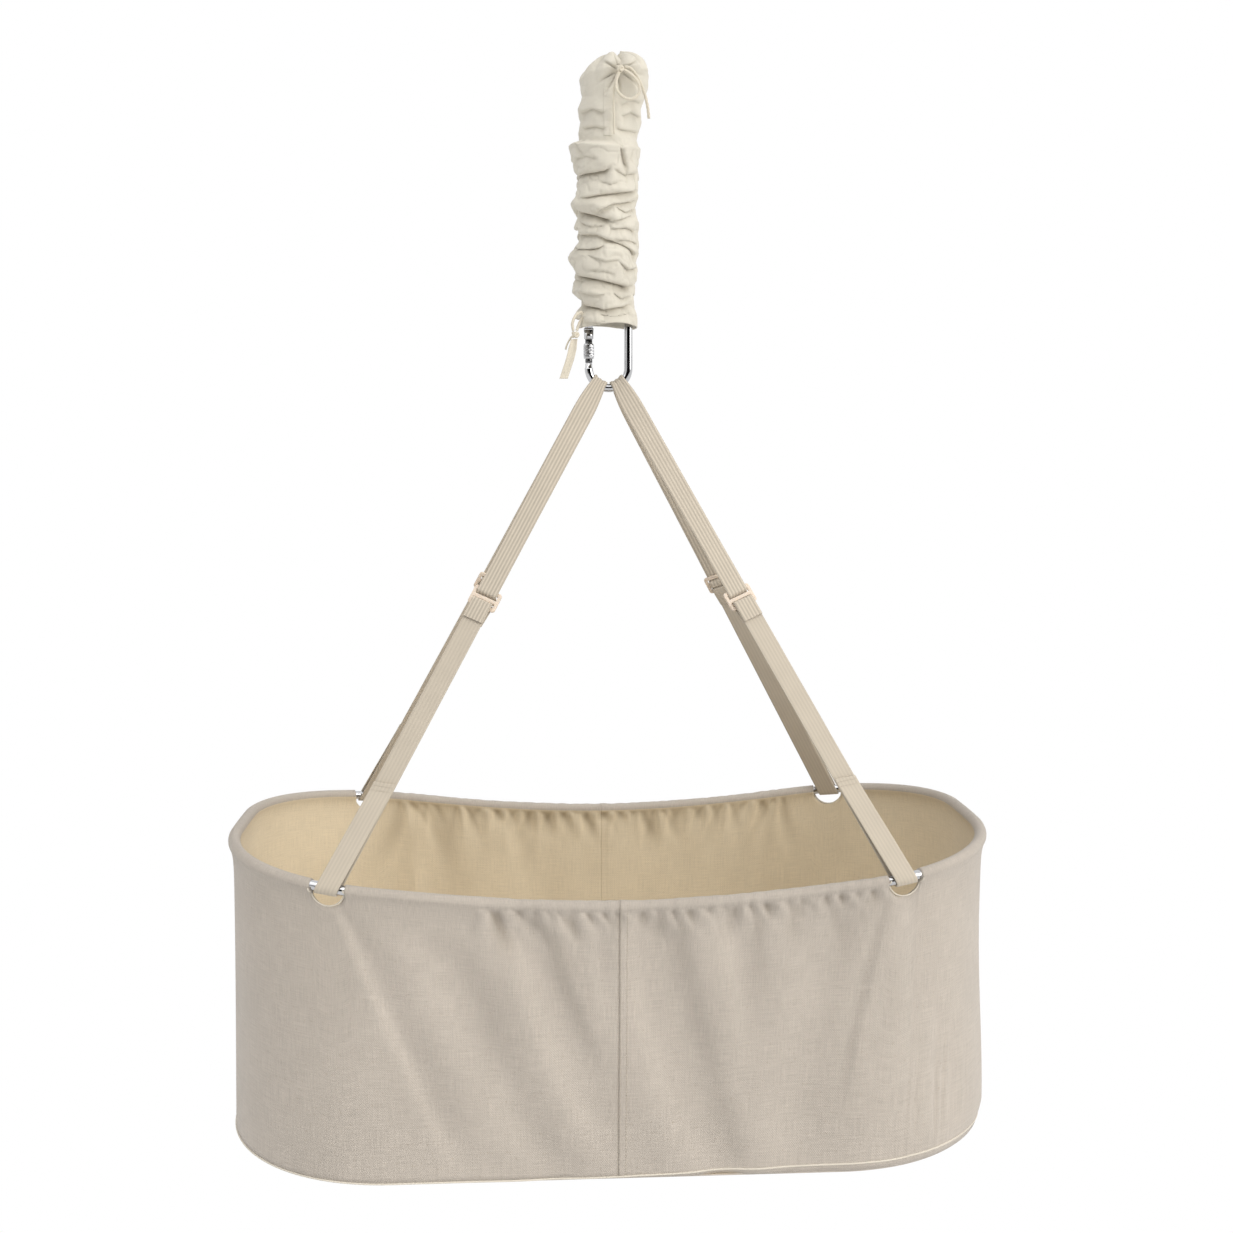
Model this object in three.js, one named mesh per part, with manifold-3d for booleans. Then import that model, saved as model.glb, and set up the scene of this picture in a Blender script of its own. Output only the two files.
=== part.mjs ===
// Hanging baby cradle: a canvas basket on a steel rim rod, hung by four webbing legs from a
// screw-gate carabiner, under an extension spring in a ruched cotton sleeve.
// Millimetres, +Z up, +X along the basket, +Y towards its back.
// The origin is the point in the top ring's bore where a ceiling hook bears.

import * as THREE from 'three';
import { mergeVertices } from 'three/addons/utils/BufferGeometryUtils.js';
import Module from 'manifold-3d';

const wasm = await Module();
wasm.setup();

// Driving dimensions: clearances
const FIT_GAP = 0.3;
const CUT_OVERRUN = 25;

// Driving dimensions: top ring and swivel eyes
const RING_WIRE = 8;
const RING_BORE = 32;
const EYE_WIRE = 7;
const EYE_BORE = 16;
const EYE_HEAD_RADIUS = 10;
const EYE_HEAD_EDGE = 3;

// Driving dimensions: spring
const SPRING_LENGTH = 172;
const SPRING_WIRE = 3.2;
const SPRING_MEAN_RADIUS = 20;
const SPRING_TURNS = 30;
const SPRING_CONE_TURNS = 3;
const SPRING_TO_EYE = 5.3;

// Driving dimensions: sleeve
const SLEEVE_RADIUS = 37.5;
const SLEEVE_CLOTH = 2.5;
const SLEEVE_HEADER = 4;
const SLEEVE_LOBE = 26;
const SLEEVE_SMOOTH_LENGTH = 76;
const SLEEVE_RUCHE_PITCH = 22;
const SLEEVE_RUCHE_DEPTH = 2.8;
const SLEEVE_RUCHE_SLANT = 7;
const SLEEVE_COLLAR_DEPTH = 12;
const SLEEVE_RUCHE_TWIST = 2.1;
const SLEEVE_PLEATS = 5;
const SLEEVE_PLEAT_SHARE = 0.25;
const SLEEVE_LOBE_POWER = 3;

// Driving dimensions: carabiner
const CARABINER_LENGTH = 108;
const CARABINER_WIDTH = 57;
const CARABINER_ROD = 10;
const HINGE_BLOCK_RADIUS = 6;
const HINGE_BLOCK_ABOVE = 7;
const HINGE_BLOCK_BELOW = 6;
const HINGE_DROP = 35;
const HINGE_SLOT = 5;
const HINGE_PIN_RADIUS = 1.5;
const HINGE_PIN_BORE_RADIUS = 1.65;
const GATE_RADIUS = 4.2;
const GATE_LENGTH = 33.5;
const GATE_SHOULDER = 8.4;
const NOSE_GAP = 0.5;
const COLLAR_RADIUS = 6.2;
const COLLAR_LENGTH = 18;
const COLLAR_DROP = 11;
const COLLAR_FLUTE_DEPTH = 0.5;
const COLLAR_FLUTES = 14;

// Driving dimensions: webbing legs
const WEBBING_WIDTH = 25;
const WEBBING_THICKNESS = 1.8;
const WEBBING_BUNCHED_WIDTH = 17.5;
const BUNCH_LENGTH = 42;
const BUNCH_SPACING = 1.4;
const BOW_GAP = 1;
const ROD_GAP = 0.4;
const BOW_ANGLE = THREE.MathUtils.degToRad(34);
const TAIL_LENGTH = 17;
const SLIDER_FLAP_LENGTH = 20;
const STITCH_HEIGHT = 118;
const STITCH_TO_END = 10;

// Driving dimensions: sliders
const SLIDER_SHARE = 0.447;
const SLIDER_WIDTH = 35;
const SLIDER_THICKNESS = 3;
const SLIDER_SLOT_WIDTH = 27;
const SLIDER_SLOT = 5;
const SLIDER_OUTER_BAR = 4.5;
const SLIDER_MIDDLE_BAR = 4.4;
const SLIDER_CORNER = 4;
const SLIDER_EDGE = 0.5;
const SLOT_LEAN = THREE.MathUtils.degToRad(65);

// Driving dimensions: rim
const RIM_HEIGHT = -895;
const RIM_HALF_LENGTH = 444;
const RIM_HALF_WIDTH = 219;
const RIM_END_STRAIGHT = 46;
const RIM_ROD_RADIUS = 5.5;
const RIM_SWEEP = 22;
const NOTCH_RADIUS = 20;

// Driving dimensions: basket
const BASKET_DEPTH = 345;
const BASE_HALF_LENGTH = 460;
const BASE_HALF_WIDTH = 200;
const CANVAS = 2;
const HEM_SLACK = 0.5;
const HEM_CLOTH = 1.2;
const BASE_SAG = 7;
const BASE_SLOPE = 24;
const BOARD_THICKNESS = 4;
const BOARD_MARGIN = 30;
const MATTRESS_THICKNESS = 40;
const MATTRESS_MARGIN = 12;
const MATTRESS_EDGE = 12;
const MATTRESS_CROWN = 8;

// Driving dimensions: ties
const TIE_CORD_RADIUS = 1.8;
const THIN_CORD_RADIUS = 1.1;
const KNOT_RADIUS = 4.6;
const TAPE_WIDTH = 9;
const TAPE_THICKNESS = 1.2;

// Counts of faces
const SIDE_STATIONS = 9;
const CORNER_STATIONS = 9;
const NOTCH_SPAN = 1;
const END_STATIONS = 2;
const NOTCH_SIDES = 24;
const ROD_SIDES = 8;
const HEM_STEPS = 7;
const WALL_ROWS = 5;
const WIRE_SIDES = 8;
const RING_STEPS = 24;
const CARABINER_STEPS = 48;
const CARABINER_SIDES = 10;
const BOW_STEPS = 24;
const STEM_SIDES = 16;
const PIN_SIDES = 12;
const TONGUE_SIDES = 20;
const SPRING_STEPS = 8;
const SPRING_SIDES = 5;
const SPRING_SAMPLES = 24;
const SLEEVE_SIDES = 16;
const SLEEVE_RINGS = 46;
const SLEEVE_LINING_RINGS = 7;
const LEG_STEPS = 9;
const BOW_WRAP_STEPS = 4;
const LEG_BLEND_STEPS = 3;
const ROD_WRAP_STEPS = 8;
const CORD_SIDES = 8;
const LOOP_STEPS = 18;
const SMALL_LOOP_STEPS = 14;
const TAIL_STEPS = 12;
const KNOT_SIDES = 10;
const KNOT_RINGS = 7;

const Z_AXIS = new THREE.Vector3(0, 0, 1);
const Y_AXIS = new THREE.Vector3(0, 1, 0);

// Materials
const finish = (color, roughness, metalness) =>
  new THREE.MeshStandardMaterial({ color, roughness, metalness });
const steel = () => finish(0xc9cbcd, 0.18, 1);
const springSteel = () => finish(0x9a9c9f, 0.35, 1);
const canvas = () => finish(0xd9cfbd, 0.9, 0);
const cotton = () => finish(0xe4dcc9, 0.92, 0);
const webbing = () => finish(0xcfc0a8, 0.9, 0);
const plastic = () => finish(0xecdcc8, 0.45, 0);
const board = () => finish(0xc9a878, 0.7, 0);
const ticking = () => finish(0xf0ece2, 0.9, 0);

const root = new THREE.Group();

function addPiece(name, geometry, material) {
  const mesh = new THREE.Mesh(geometry, material);
  mesh.name = name;
  root.add(mesh);
  return mesh;
}

// Solids for boolean cuts and joins
function solidOf(geometry) {
  const bare = geometry.clone();
  bare.deleteAttribute('normal');
  bare.deleteAttribute('uv');
  const merged = mergeVertices(bare, FIT_GAP / 1000);
  const mesh = new wasm.Mesh({
    numProp: 3,
    vertProperties: new Float32Array(merged.attributes.position.array),
    triVerts: new Uint32Array(merged.index.array),
  });
  return new wasm.Manifold(mesh);
}

function geometryOf(solid) {
  const mesh = solid.getMesh();
  const geometry = new THREE.BufferGeometry();
  geometry.setAttribute('position', new THREE.BufferAttribute(mesh.vertProperties, 3));
  geometry.setIndex(new THREE.BufferAttribute(mesh.triVerts, 1));
  return geometry;
}

function signedVolume(points, index) {
  const cross = new THREE.Vector3();
  let total = 0;
  for (let i = 0; i < index.length; i += 3) {
    cross.crossVectors(points[index[i + 1]], points[index[i + 2]]);
    total += points[index[i]].dot(cross);
  }
  return total;
}

// Flat triangulation of one end ring, in the ring's own order
function capTriangles(ring) {
  const normal = new THREE.Vector3();
  ring.forEach((point, i) => {
    normal.add(new THREE.Vector3().crossVectors(point, ring[(i + 1) % ring.length]));
  });
  normal.normalize();
  const across = new THREE.Vector3().subVectors(ring[1], ring[0]);
  across.addScaledVector(normal, -across.dot(normal)).normalize();
  const up = new THREE.Vector3().crossVectors(normal, across);
  const outline = ring.map((point) => new THREE.Vector2(point.dot(across), point.dot(up)));
  return THREE.ShapeUtils.triangulateShape(outline, []);
}

// A closed body through rings of points; a loop of rings has no ends
function loft(rings, isLoop = false) {
  const count = rings[0].length;
  const points = rings.flat();
  const index = [];
  const spans = isLoop ? rings.length : rings.length - 1;
  for (let i = 0; i < spans; i += 1) {
    const here = i * count;
    const next = ((i + 1) % rings.length) * count;
    for (let j = 0; j < count; j += 1) {
      const k = (j + 1) % count;
      index.push(here + j, here + k, next + k, here + j, next + k, next + j);
    }
  }
  if (!isLoop) {
    const last = (rings.length - 1) * count;
    capTriangles(rings[0]).forEach(([a, b, c]) => index.push(a, c, b));
    capTriangles(rings[rings.length - 1]).forEach(([a, b, c]) => {
      index.push(last + a, last + b, last + c);
    });
  }
  if (signedVolume(points, index) < 0) index.reverse();
  const geometry = new THREE.BufferGeometry().setFromPoints(points);
  geometry.setIndex(index);
  return geometry;
}

// A copy mirrored in X or Y, with its faces still pointing out
function mirrored(geometry, signX, signY) {
  const copy = geometry.clone();
  copy.scale(signX, signY, 1);
  if (signX * signY < 0) copy.setIndex(Array.from(copy.index.array).reverse());
  return copy;
}

function placed(geometry, across, up, position) {
  const out = new THREE.Vector3().crossVectors(across, up);
  const matrix = new THREE.Matrix4().makeBasis(across, up, out).setPosition(position);
  return geometry.clone().applyMatrix4(matrix);
}

// Round cord or rod along a smooth path with open ends
function roundTube(path, radius, sides, steps) {
  const section = new THREE.Shape();
  for (let i = 0; i < sides; i += 1) {
    const angle = (2 * Math.PI * i) / sides;
    const x = radius * Math.cos(angle);
    const y = radius * Math.sin(angle);
    if (i === 0) section.moveTo(x, y);
    else section.lineTo(x, y);
  }
  section.closePath();
  return new THREE.ExtrudeGeometry(section, { steps, extrudePath: path, bevelEnabled: false });
}

function cylinderBetween(radius, from, to, sides) {
  const axis = new THREE.Vector3().subVectors(to, from);
  const geometry = new THREE.CylinderGeometry(radius, radius, axis.length(), sides);
  geometry.applyQuaternion(new THREE.Quaternion().setFromUnitVectors(Y_AXIS, axis.normalize()));
  const middle = new THREE.Vector3().addVectors(from, to).multiplyScalar(0.5);
  return geometry.translate(middle.x, middle.y, middle.z);
}

// Flat webbing: stations hold a point, half the width as a vector, and how far the two edges
// are lifted from the middle; corners are mitred so the thickness stays the same
function ribbon(stations, thickness) {
  const normals = [];
  for (let i = 0; i + 1 < stations.length; i += 1) {
    const along = new THREE.Vector3().subVectors(stations[i + 1].point, stations[i].point);
    const half = new THREE.Vector3().addVectors(stations[i].half, stations[i + 1].half);
    normals.push(new THREE.Vector3().crossVectors(half, along).normalize());
  }
  const rings = stations.map(({ point, half, lift }, i) => {
    const before = normals[Math.max(i - 1, 0)];
    const after = normals[Math.min(i, normals.length - 1)];
    const mitre = new THREE.Vector3().addVectors(before, after);
    mitre.multiplyScalar(thickness / 2 / (1 + before.dot(after)));
    const edge = lift ?? new THREE.Vector3();
    const left = new THREE.Vector3().subVectors(point, half).add(edge);
    const right = new THREE.Vector3().addVectors(point, half).add(edge);
    return [
      left.clone().sub(mitre),
      point.clone().sub(mitre),
      right.clone().sub(mitre),
      right.clone().add(mitre),
      point.clone().add(mitre),
      left.clone().add(mitre),
    ];
  });
  return loft(rings);
}

// Heights that follow from the chain of hanging pieces
const ringCentreZ = -RING_BORE / 2;
const topEyeCentreZ = -RING_BORE + FIT_GAP - EYE_BORE / 2;
const eyeOuterRadius = EYE_BORE / 2 + EYE_WIRE;
const topEyeBottomZ = topEyeCentreZ - eyeOuterRadius;
const springTopZ = topEyeBottomZ - SPRING_TO_EYE;
const springBottomZ = springTopZ - SPRING_LENGTH;
const bottomEyeTopZ = springBottomZ - SPRING_TO_EYE;
const bottomEyeCentreZ = bottomEyeTopZ - eyeOuterRadius;
const carabinerTopWireZ = bottomEyeCentreZ - EYE_BORE / 2 + FIT_GAP + CARABINER_ROD / 2;
const bowRadius = (CARABINER_WIDTH - CARABINER_ROD) / 2;
const upperArcZ = carabinerTopWireZ - bowRadius;
const lowerArcZ = upperArcZ - (CARABINER_LENGTH - CARABINER_WIDTH);
const gateX = -bowRadius;

// Top ring
const topRing = new THREE.TorusGeometry(
  (RING_BORE + RING_WIRE) / 2,
  RING_WIRE / 2,
  WIRE_SIDES,
  RING_STEPS,
);
topRing.rotateY(Math.PI / 2).translate(0, 0, ringCentreZ);
addPiece('top_ring', topRing, steel());

// Swivel eyes: an eye, a neck, and a cone held by the spring's narrowing end
const springNeckRadius = (EYE_WIRE / 2 + FIT_GAP + SPRING_WIRE / 2)
  / Math.cos(Math.PI / SPRING_STEPS);
const springConeDrop = (SPRING_LENGTH - SPRING_WIRE) * (SPRING_CONE_TURNS / SPRING_TURNS);
const headRise = ((EYE_HEAD_RADIUS - EYE_WIRE / 2) * springConeDrop)
  / (SPRING_MEAN_RADIUS - springNeckRadius);

function swivelEye() {
  const ringRadius = (EYE_BORE + EYE_WIRE) / 2;
  const ring = new THREE.TorusGeometry(ringRadius, EYE_WIRE / 2, WIRE_SIDES, RING_STEPS);
  const neckEnd = -eyeOuterRadius - SPRING_TO_EYE - EYE_WIRE / 2;
  const profile = [
    new THREE.Vector2(0, -ringRadius),
    new THREE.Vector2(EYE_WIRE / 2, -ringRadius),
    new THREE.Vector2(EYE_WIRE / 2, neckEnd),
    new THREE.Vector2(EYE_HEAD_RADIUS, neckEnd - headRise),
    new THREE.Vector2(EYE_HEAD_RADIUS, neckEnd - headRise - EYE_HEAD_EDGE),
    new THREE.Vector2(0, neckEnd - headRise - EYE_HEAD_EDGE),
  ];
  const stem = new THREE.LatheGeometry(profile.reverse(), STEM_SIDES);
  stem.rotateX(Math.PI / 2);
  const upright = ring.clone().rotateX(Math.PI / 2);
  return geometryOf(solidOf(upright).add(solidOf(stem)));
}

const topEye = swivelEye();
topEye.translate(0, 0, topEyeCentreZ);
addPiece('top_swivel_eye', topEye, steel());

const bottomEye = swivelEye();
bottomEye.rotateX(Math.PI).rotateZ(Math.PI / 2).translate(0, 0, bottomEyeCentreZ);
addPiece('bottom_swivel_eye', bottomEye, steel());

// Extension spring: one wire whose turns narrow at both ends
function springPoint(turn) {
  const fromEnd = Math.min(turn, SPRING_TURNS - turn);
  const share = Math.min(fromEnd / SPRING_CONE_TURNS, 1);
  const radius = THREE.MathUtils.lerp(springNeckRadius, SPRING_MEAN_RADIUS, share);
  const drop = ((SPRING_LENGTH - SPRING_WIRE) * turn) / SPRING_TURNS + SPRING_WIRE / 2;
  const angle = 2 * Math.PI * turn;
  return new THREE.Vector3(
    radius * Math.cos(angle),
    radius * Math.sin(angle),
    springTopZ - drop,
  );
}

function springGeometry() {
  const rings = [];
  const count = SPRING_TURNS * SPRING_STEPS;
  for (let i = 0; i <= count; i += 1) {
    const point = springPoint(i / SPRING_STEPS);
    const out = new THREE.Vector3(point.x, point.y, 0).normalize();
    const ring = [];
    for (let j = 0; j < SPRING_SIDES; j += 1) {
      const angle = (2 * Math.PI * j) / SPRING_SIDES;
      const corner = point.clone().addScaledVector(out, (SPRING_WIRE / 2) * Math.cos(angle));
      ring.push(corner.addScaledVector(Z_AXIS, (SPRING_WIRE / 2) * Math.sin(angle)));
    }
    rings.push(ring);
  }
  return loft(rings);
}

function leastSpringGap() {
  const perTurn = SPRING_SAMPLES;
  const samples = [];
  for (let i = 0; i <= SPRING_TURNS * perTurn; i += 1) samples.push(springPoint(i / perTurn));
  let least = Infinity;
  for (let i = 0; i < samples.length; i += 1) {
    for (let j = i + perTurn / 2; j < Math.min(i + 2 * perTurn, samples.length); j += 1) {
      least = Math.min(least, samples[i].distanceTo(samples[j]));
    }
  }
  return least - SPRING_WIRE;
}

addPiece('extension_spring', springGeometry(), springSteel());
console.log(`least gap of the spring to itself: ${leastSpringGap().toFixed(2)} mm`);

// Sleeve: a smooth top with a header frill, then ruched rings that slant at random angles
const sleeveTopZ = SLEEVE_HEADER;
const sleeveBottomZ = upperArcZ;

// Mean radius down the sleeve: full header, drawn-in neck, overhanging hem, slack lower part
const SLEEVE_PROFILE_SHARES = [
  { down: 0, radius: 1.07 },
  { down: 0.1, radius: 1.09 },
  { down: 0.17, radius: 0.95 },
  { down: 0.26, radius: 0.94 },
  { down: 0.275, radius: 1.1 },
  { down: 0.42, radius: 0.99 },
  { down: 0.65, radius: 1.01 },
  { down: 1, radius: 0.95 },
];

function sleeveRadius(downShare) {
  const after = SLEEVE_PROFILE_SHARES.findIndex(({ down }) => down >= downShare);
  if (after <= 0) return SLEEVE_RADIUS * SLEEVE_PROFILE_SHARES[0].radius;
  const from = SLEEVE_PROFILE_SHARES[after - 1];
  const to = SLEEVE_PROFILE_SHARES[after];
  const share = (downShare - from.down) / (to.down - from.down);
  return SLEEVE_RADIUS * THREE.MathUtils.lerp(from.radius, to.radius, share);
}

function ruche(depth, angle) {
  const below = Math.max(depth - SLEEVE_SMOOTH_LENGTH, 0);
  const twist = (SLEEVE_RUCHE_TWIST * below) / SLEEVE_RUCHE_PITCH;
  const slant = SLEEVE_RUCHE_SLANT * Math.sin(angle + twist);
  const wave = Math.sin((2 * Math.PI * (below + slant)) / SLEEVE_RUCHE_PITCH);
  const grow = Math.min(below / SLEEVE_RUCHE_PITCH, 1);
  const pleat = Math.sin(SLEEVE_PLEATS * angle + depth / SLEEVE_RUCHE_PITCH);
  const smoothPart = SLEEVE_RUCHE_DEPTH * SLEEVE_PLEAT_SHARE * pleat * (1 - grow);
  return SLEEVE_RUCHE_DEPTH * wave * grow + smoothPart;
}

function sleeveGeometry() {
  const depthTotal = sleeveTopZ - sleeveBottomZ;
  const bottomRadius = CARABINER_WIDTH / 2 + FIT_GAP;
  const collarRadius = RING_BORE / 2 + RING_WIRE + FIT_GAP;
  const rings = [];
  const addRing = (radiusAt, depth, lobe) => {
    const ring = [];
    for (let j = 0; j < SLEEVE_SIDES; j += 1) {
      const angle = (2 * Math.PI * (j + 0.5)) / SLEEVE_SIDES;
      const radius = radiusAt(angle);
      const rise = lobe * Math.max(Math.cos(angle), 0) ** SLEEVE_LOBE_POWER;
      ring.push(new THREE.Vector3(
        radius * Math.cos(angle),
        radius * Math.sin(angle),
        sleeveTopZ - depth + rise,
      ));
    }
    rings.push(ring);
  };
  const inset = Math.cos(Math.PI / SLEEVE_SIDES);
  const collarDepth = sleeveTopZ - ringCentreZ;
  const liningDepths = [collarDepth + SLEEVE_COLLAR_DEPTH, collarDepth, 0];
  for (let i = 0; i <= SLEEVE_LINING_RINGS; i += 1) {
    const share = 1 - i / SLEEVE_LINING_RINGS;
    const depth = THREE.MathUtils.lerp(liningDepths[0], depthTotal, share);
    const radius = SLEEVE_RADIUS - SLEEVE_RUCHE_DEPTH - SLEEVE_CLOTH;
    addRing(() => (i === 0 ? bottomRadius / inset : radius), depth, 0);
  }
  addRing(() => collarRadius / inset, liningDepths[1], 0);
  addRing(() => SLEEVE_RADIUS - SLEEVE_CLOTH, liningDepths[2], SLEEVE_LOBE);
  for (let i = 0; i <= SLEEVE_RINGS; i += 1) {
    const depth = (depthTotal * i) / SLEEVE_RINGS;
    const lobe = SLEEVE_LOBE * Math.max(1 - depth / SLEEVE_LOBE, 0);
    const mean = sleeveRadius(i / SLEEVE_RINGS);
    addRing((angle) => mean + ruche(depth, angle), depth, lobe);
  }
  return loft(rings, true);
}

addPiece('cotton_sleeve', sleeveGeometry(), cotton());

// Carabiner body: a bent rod from the hinge block round both bows to the nose
const hingeZ = carabinerTopWireZ - HINGE_DROP;
const hingeBlockTopZ = hingeZ + HINGE_BLOCK_ABOVE;
const gateEndZ = hingeZ - GATE_LENGTH;
const noseTopZ = gateEndZ - NOSE_GAP;

class CarabinerPath extends THREE.Curve {
  constructor() {
    super();
    const lead = hingeBlockTopZ - HINGE_BLOCK_ABOVE / 2;
    const corners = [new THREE.Vector3(gateX, 0, lead)];
    for (let i = 0; i <= BOW_STEPS; i += 1) {
      const angle = Math.PI - (Math.PI * i) / BOW_STEPS;
      corners.push(new THREE.Vector3(
        bowRadius * Math.cos(angle),
        0,
        upperArcZ + bowRadius * Math.sin(angle),
      ));
    }
    for (let i = 0; i <= BOW_STEPS; i += 1) {
      const angle = (-Math.PI * i) / BOW_STEPS;
      corners.push(new THREE.Vector3(
        bowRadius * Math.cos(angle),
        0,
        lowerArcZ + bowRadius * Math.sin(angle),
      ));
    }
    this.corners = corners;
    this.lengths = corners.map((corner, i) => (i === 0 ? 0 : corner.distanceTo(corners[i - 1])));
    this.total = this.lengths.reduce((sum, length) => sum + length, 0);
  }

  getPoint(t) {
    let left = t * this.total;
    for (let i = 1; i < this.corners.length; i += 1) {
      if (left <= this.lengths[i] || i === this.corners.length - 1) {
        const share = Math.min(left / this.lengths[i], 1);
        return this.corners[i - 1].clone().lerp(this.corners[i], share);
      }
      left -= this.lengths[i];
    }
    return this.corners[0].clone();
  }
}

function verticalCylinder(radius, lowZ, highZ, x, sides = STEM_SIDES) {
  return cylinderBetween(
    radius,
    new THREE.Vector3(x, 0, lowZ),
    new THREE.Vector3(x, 0, highZ),
    sides,
  );
}

function pinCylinder(radius, halfLength, sides) {
  return cylinderBetween(
    radius,
    new THREE.Vector3(gateX, -halfLength, hingeZ),
    new THREE.Vector3(gateX, halfLength, hingeZ),
    sides,
  );
}

const tongueHalfWidth = GATE_RADIUS;
const rod = roundTube(
  new CarabinerPath(),
  CARABINER_ROD / 2,
  CARABINER_SIDES,
  CARABINER_STEPS,
);
const hingeBlock = verticalCylinder(
  HINGE_BLOCK_RADIUS,
  hingeZ - HINGE_BLOCK_BELOW,
  hingeBlockTopZ,
  gateX,
);
const hingeSlotTopZ = hingeZ + tongueHalfWidth + NOSE_GAP;
const hingeSlotHeight = HINGE_BLOCK_BELOW + tongueHalfWidth + NOSE_GAP + CUT_OVERRUN;
const hingeSlotLength = 2 * HINGE_BLOCK_RADIUS + CUT_OVERRUN;
const hingeSlot = new THREE.BoxGeometry(hingeSlotLength, HINGE_SLOT, hingeSlotHeight);
hingeSlot.translate(gateX, 0, hingeSlotTopZ - hingeSlotHeight / 2);
const noseSpigot = verticalCylinder(
  GATE_RADIUS,
  lowerArcZ - GATE_RADIUS / 2,
  noseTopZ,
  gateX,
);
const slotTool = solidOf(hingeSlot);
const hingePart = solidOf(rod).add(solidOf(hingeBlock)).subtract(slotTool)
  .subtract(solidOf(pinCylinder(HINGE_PIN_BORE_RADIUS, CUT_OVERRUN, STEM_SIDES)));
const carabinerBody = hingePart.add(solidOf(noseSpigot));
addPiece('carabiner_body', geometryOf(carabinerBody), steel());
const gatePin = pinCylinder(HINGE_PIN_RADIUS, HINGE_BLOCK_RADIUS - FIT_GAP, PIN_SIDES);
addPiece('gate_pin', gatePin, steel());

// Gate: a round bar with a flat tongue that turns in the hinge slot
const tongueThickness = HINGE_SLOT - 2 * FIT_GAP;
const gateBar = verticalCylinder(GATE_RADIUS, gateEndZ, hingeZ - GATE_SHOULDER, gateX);
const tongueBlock = new THREE.BoxGeometry(2 * tongueHalfWidth, tongueThickness, 2 * GATE_SHOULDER);
tongueBlock.translate(gateX, 0, hingeZ - GATE_SHOULDER);
const tongueEye = pinCylinder(tongueHalfWidth, tongueThickness / 2, TONGUE_SIDES);
const barWithTongue = solidOf(gateBar)
  .add(solidOf(tongueBlock).intersect(
    solidOf(verticalCylinder(GATE_RADIUS, gateEndZ, hingeZ, gateX)),
  ))
  .add(solidOf(tongueEye));
const gate = barWithTongue
  .subtract(solidOf(pinCylinder(HINGE_PIN_BORE_RADIUS, CUT_OVERRUN, STEM_SIDES)));
addPiece('carabiner_gate', geometryOf(gate), steel());

// Screw collar: a fluted sleeve on the gate's bar
function collarGeometry() {
  const outline = new THREE.Shape();
  const points = 2 * COLLAR_FLUTES;
  for (let i = 0; i < points; i += 1) {
    const angle = (2 * Math.PI * i) / points;
    const radius = COLLAR_RADIUS - (i % 2) * COLLAR_FLUTE_DEPTH;
    const x = radius * Math.cos(angle);
    const y = radius * Math.sin(angle);
    if (i === 0) outline.moveTo(x, y);
    else outline.lineTo(x, y);
  }
  outline.closePath();
  const bore = new THREE.Path();
  const boreRadius = (GATE_RADIUS + FIT_GAP) / Math.cos(Math.PI / STEM_SIDES);
  bore.absarc(0, 0, boreRadius, 0, 2 * Math.PI, true);
  outline.holes.push(bore);
  const geometry = new THREE.ExtrudeGeometry(outline, {
    depth: COLLAR_LENGTH,
    bevelEnabled: false,
    curveSegments: STEM_SIDES / 2,
  });
  return geometry.translate(gateX, 0, hingeZ - COLLAR_DROP - COLLAR_LENGTH);
}

addPiece('screw_collar', collarGeometry(), steel());

// Plan of rim and base: a rounded rectangle, walked from the front middle by the left end to
// the back middle, so that rim and base stations face each other
function planStation(step, halfLength, halfWidth, corner) {
  const straight = halfLength - corner;
  const endStraight = halfWidth - corner;
  const quarter = SIDE_STATIONS + CORNER_STATIONS + END_STATIONS;
  const isBack = step > quarter;
  const s = isBack ? 2 * quarter - step : step;
  const point = new THREE.Vector2();
  const normal = new THREE.Vector2();
  if (s <= SIDE_STATIONS) {
    point.set((-straight * s) / SIDE_STATIONS, -halfWidth);
    normal.set(0, -1);
  } else if (s <= SIDE_STATIONS + CORNER_STATIONS) {
    const turn = ((s - SIDE_STATIONS) / CORNER_STATIONS) * (Math.PI / 2);
    normal.set(-Math.sin(turn), -Math.cos(turn));
    point.set(-straight + corner * normal.x, -endStraight + corner * normal.y);
  } else {
    const share = (s - SIDE_STATIONS - CORNER_STATIONS) / END_STATIONS;
    point.set(-halfLength, -endStraight * (1 - share));
    normal.set(-1, 0);
  }
  if (isBack) {
    point.y = -point.y;
    normal.y = -normal.y;
  }
  return { point, normal };
}

const rimCorner = RIM_HALF_WIDTH - RIM_END_STRAIGHT;
const baseCorner = BASE_HALF_WIDTH;
const halfRoundStations = 2 * (SIDE_STATIONS + CORNER_STATIONS + END_STATIONS);

// Each notch and its webbing sit on the middle of one straight span of the rod's corner
const notchTurn = ((NOTCH_SPAN + 1 / 2) / CORNER_STATIONS) * (Math.PI / 2);
const notchSpanRadius = rimCorner * Math.cos(Math.PI / 4 / CORNER_STATIONS);
const notchNormalX = Math.sin(notchTurn);
const notchNormalY = Math.cos(notchTurn);
const notchX = RIM_HALF_LENGTH - rimCorner + notchSpanRadius * notchNormalX;
const notchY = RIM_HALF_WIDTH - rimCorner + notchSpanRadius * notchNormalY;

// Way along a quarter of the rim, from the middle of a side to the middle of an end
const rimStraight = RIM_HALF_LENGTH - rimCorner;
const rimQuarter = rimStraight + (rimCorner * Math.PI) / 2 + RIM_END_STRAIGHT;
const notchPhase = (Math.PI * (rimStraight + rimCorner * notchTurn)) / rimQuarter;

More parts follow.
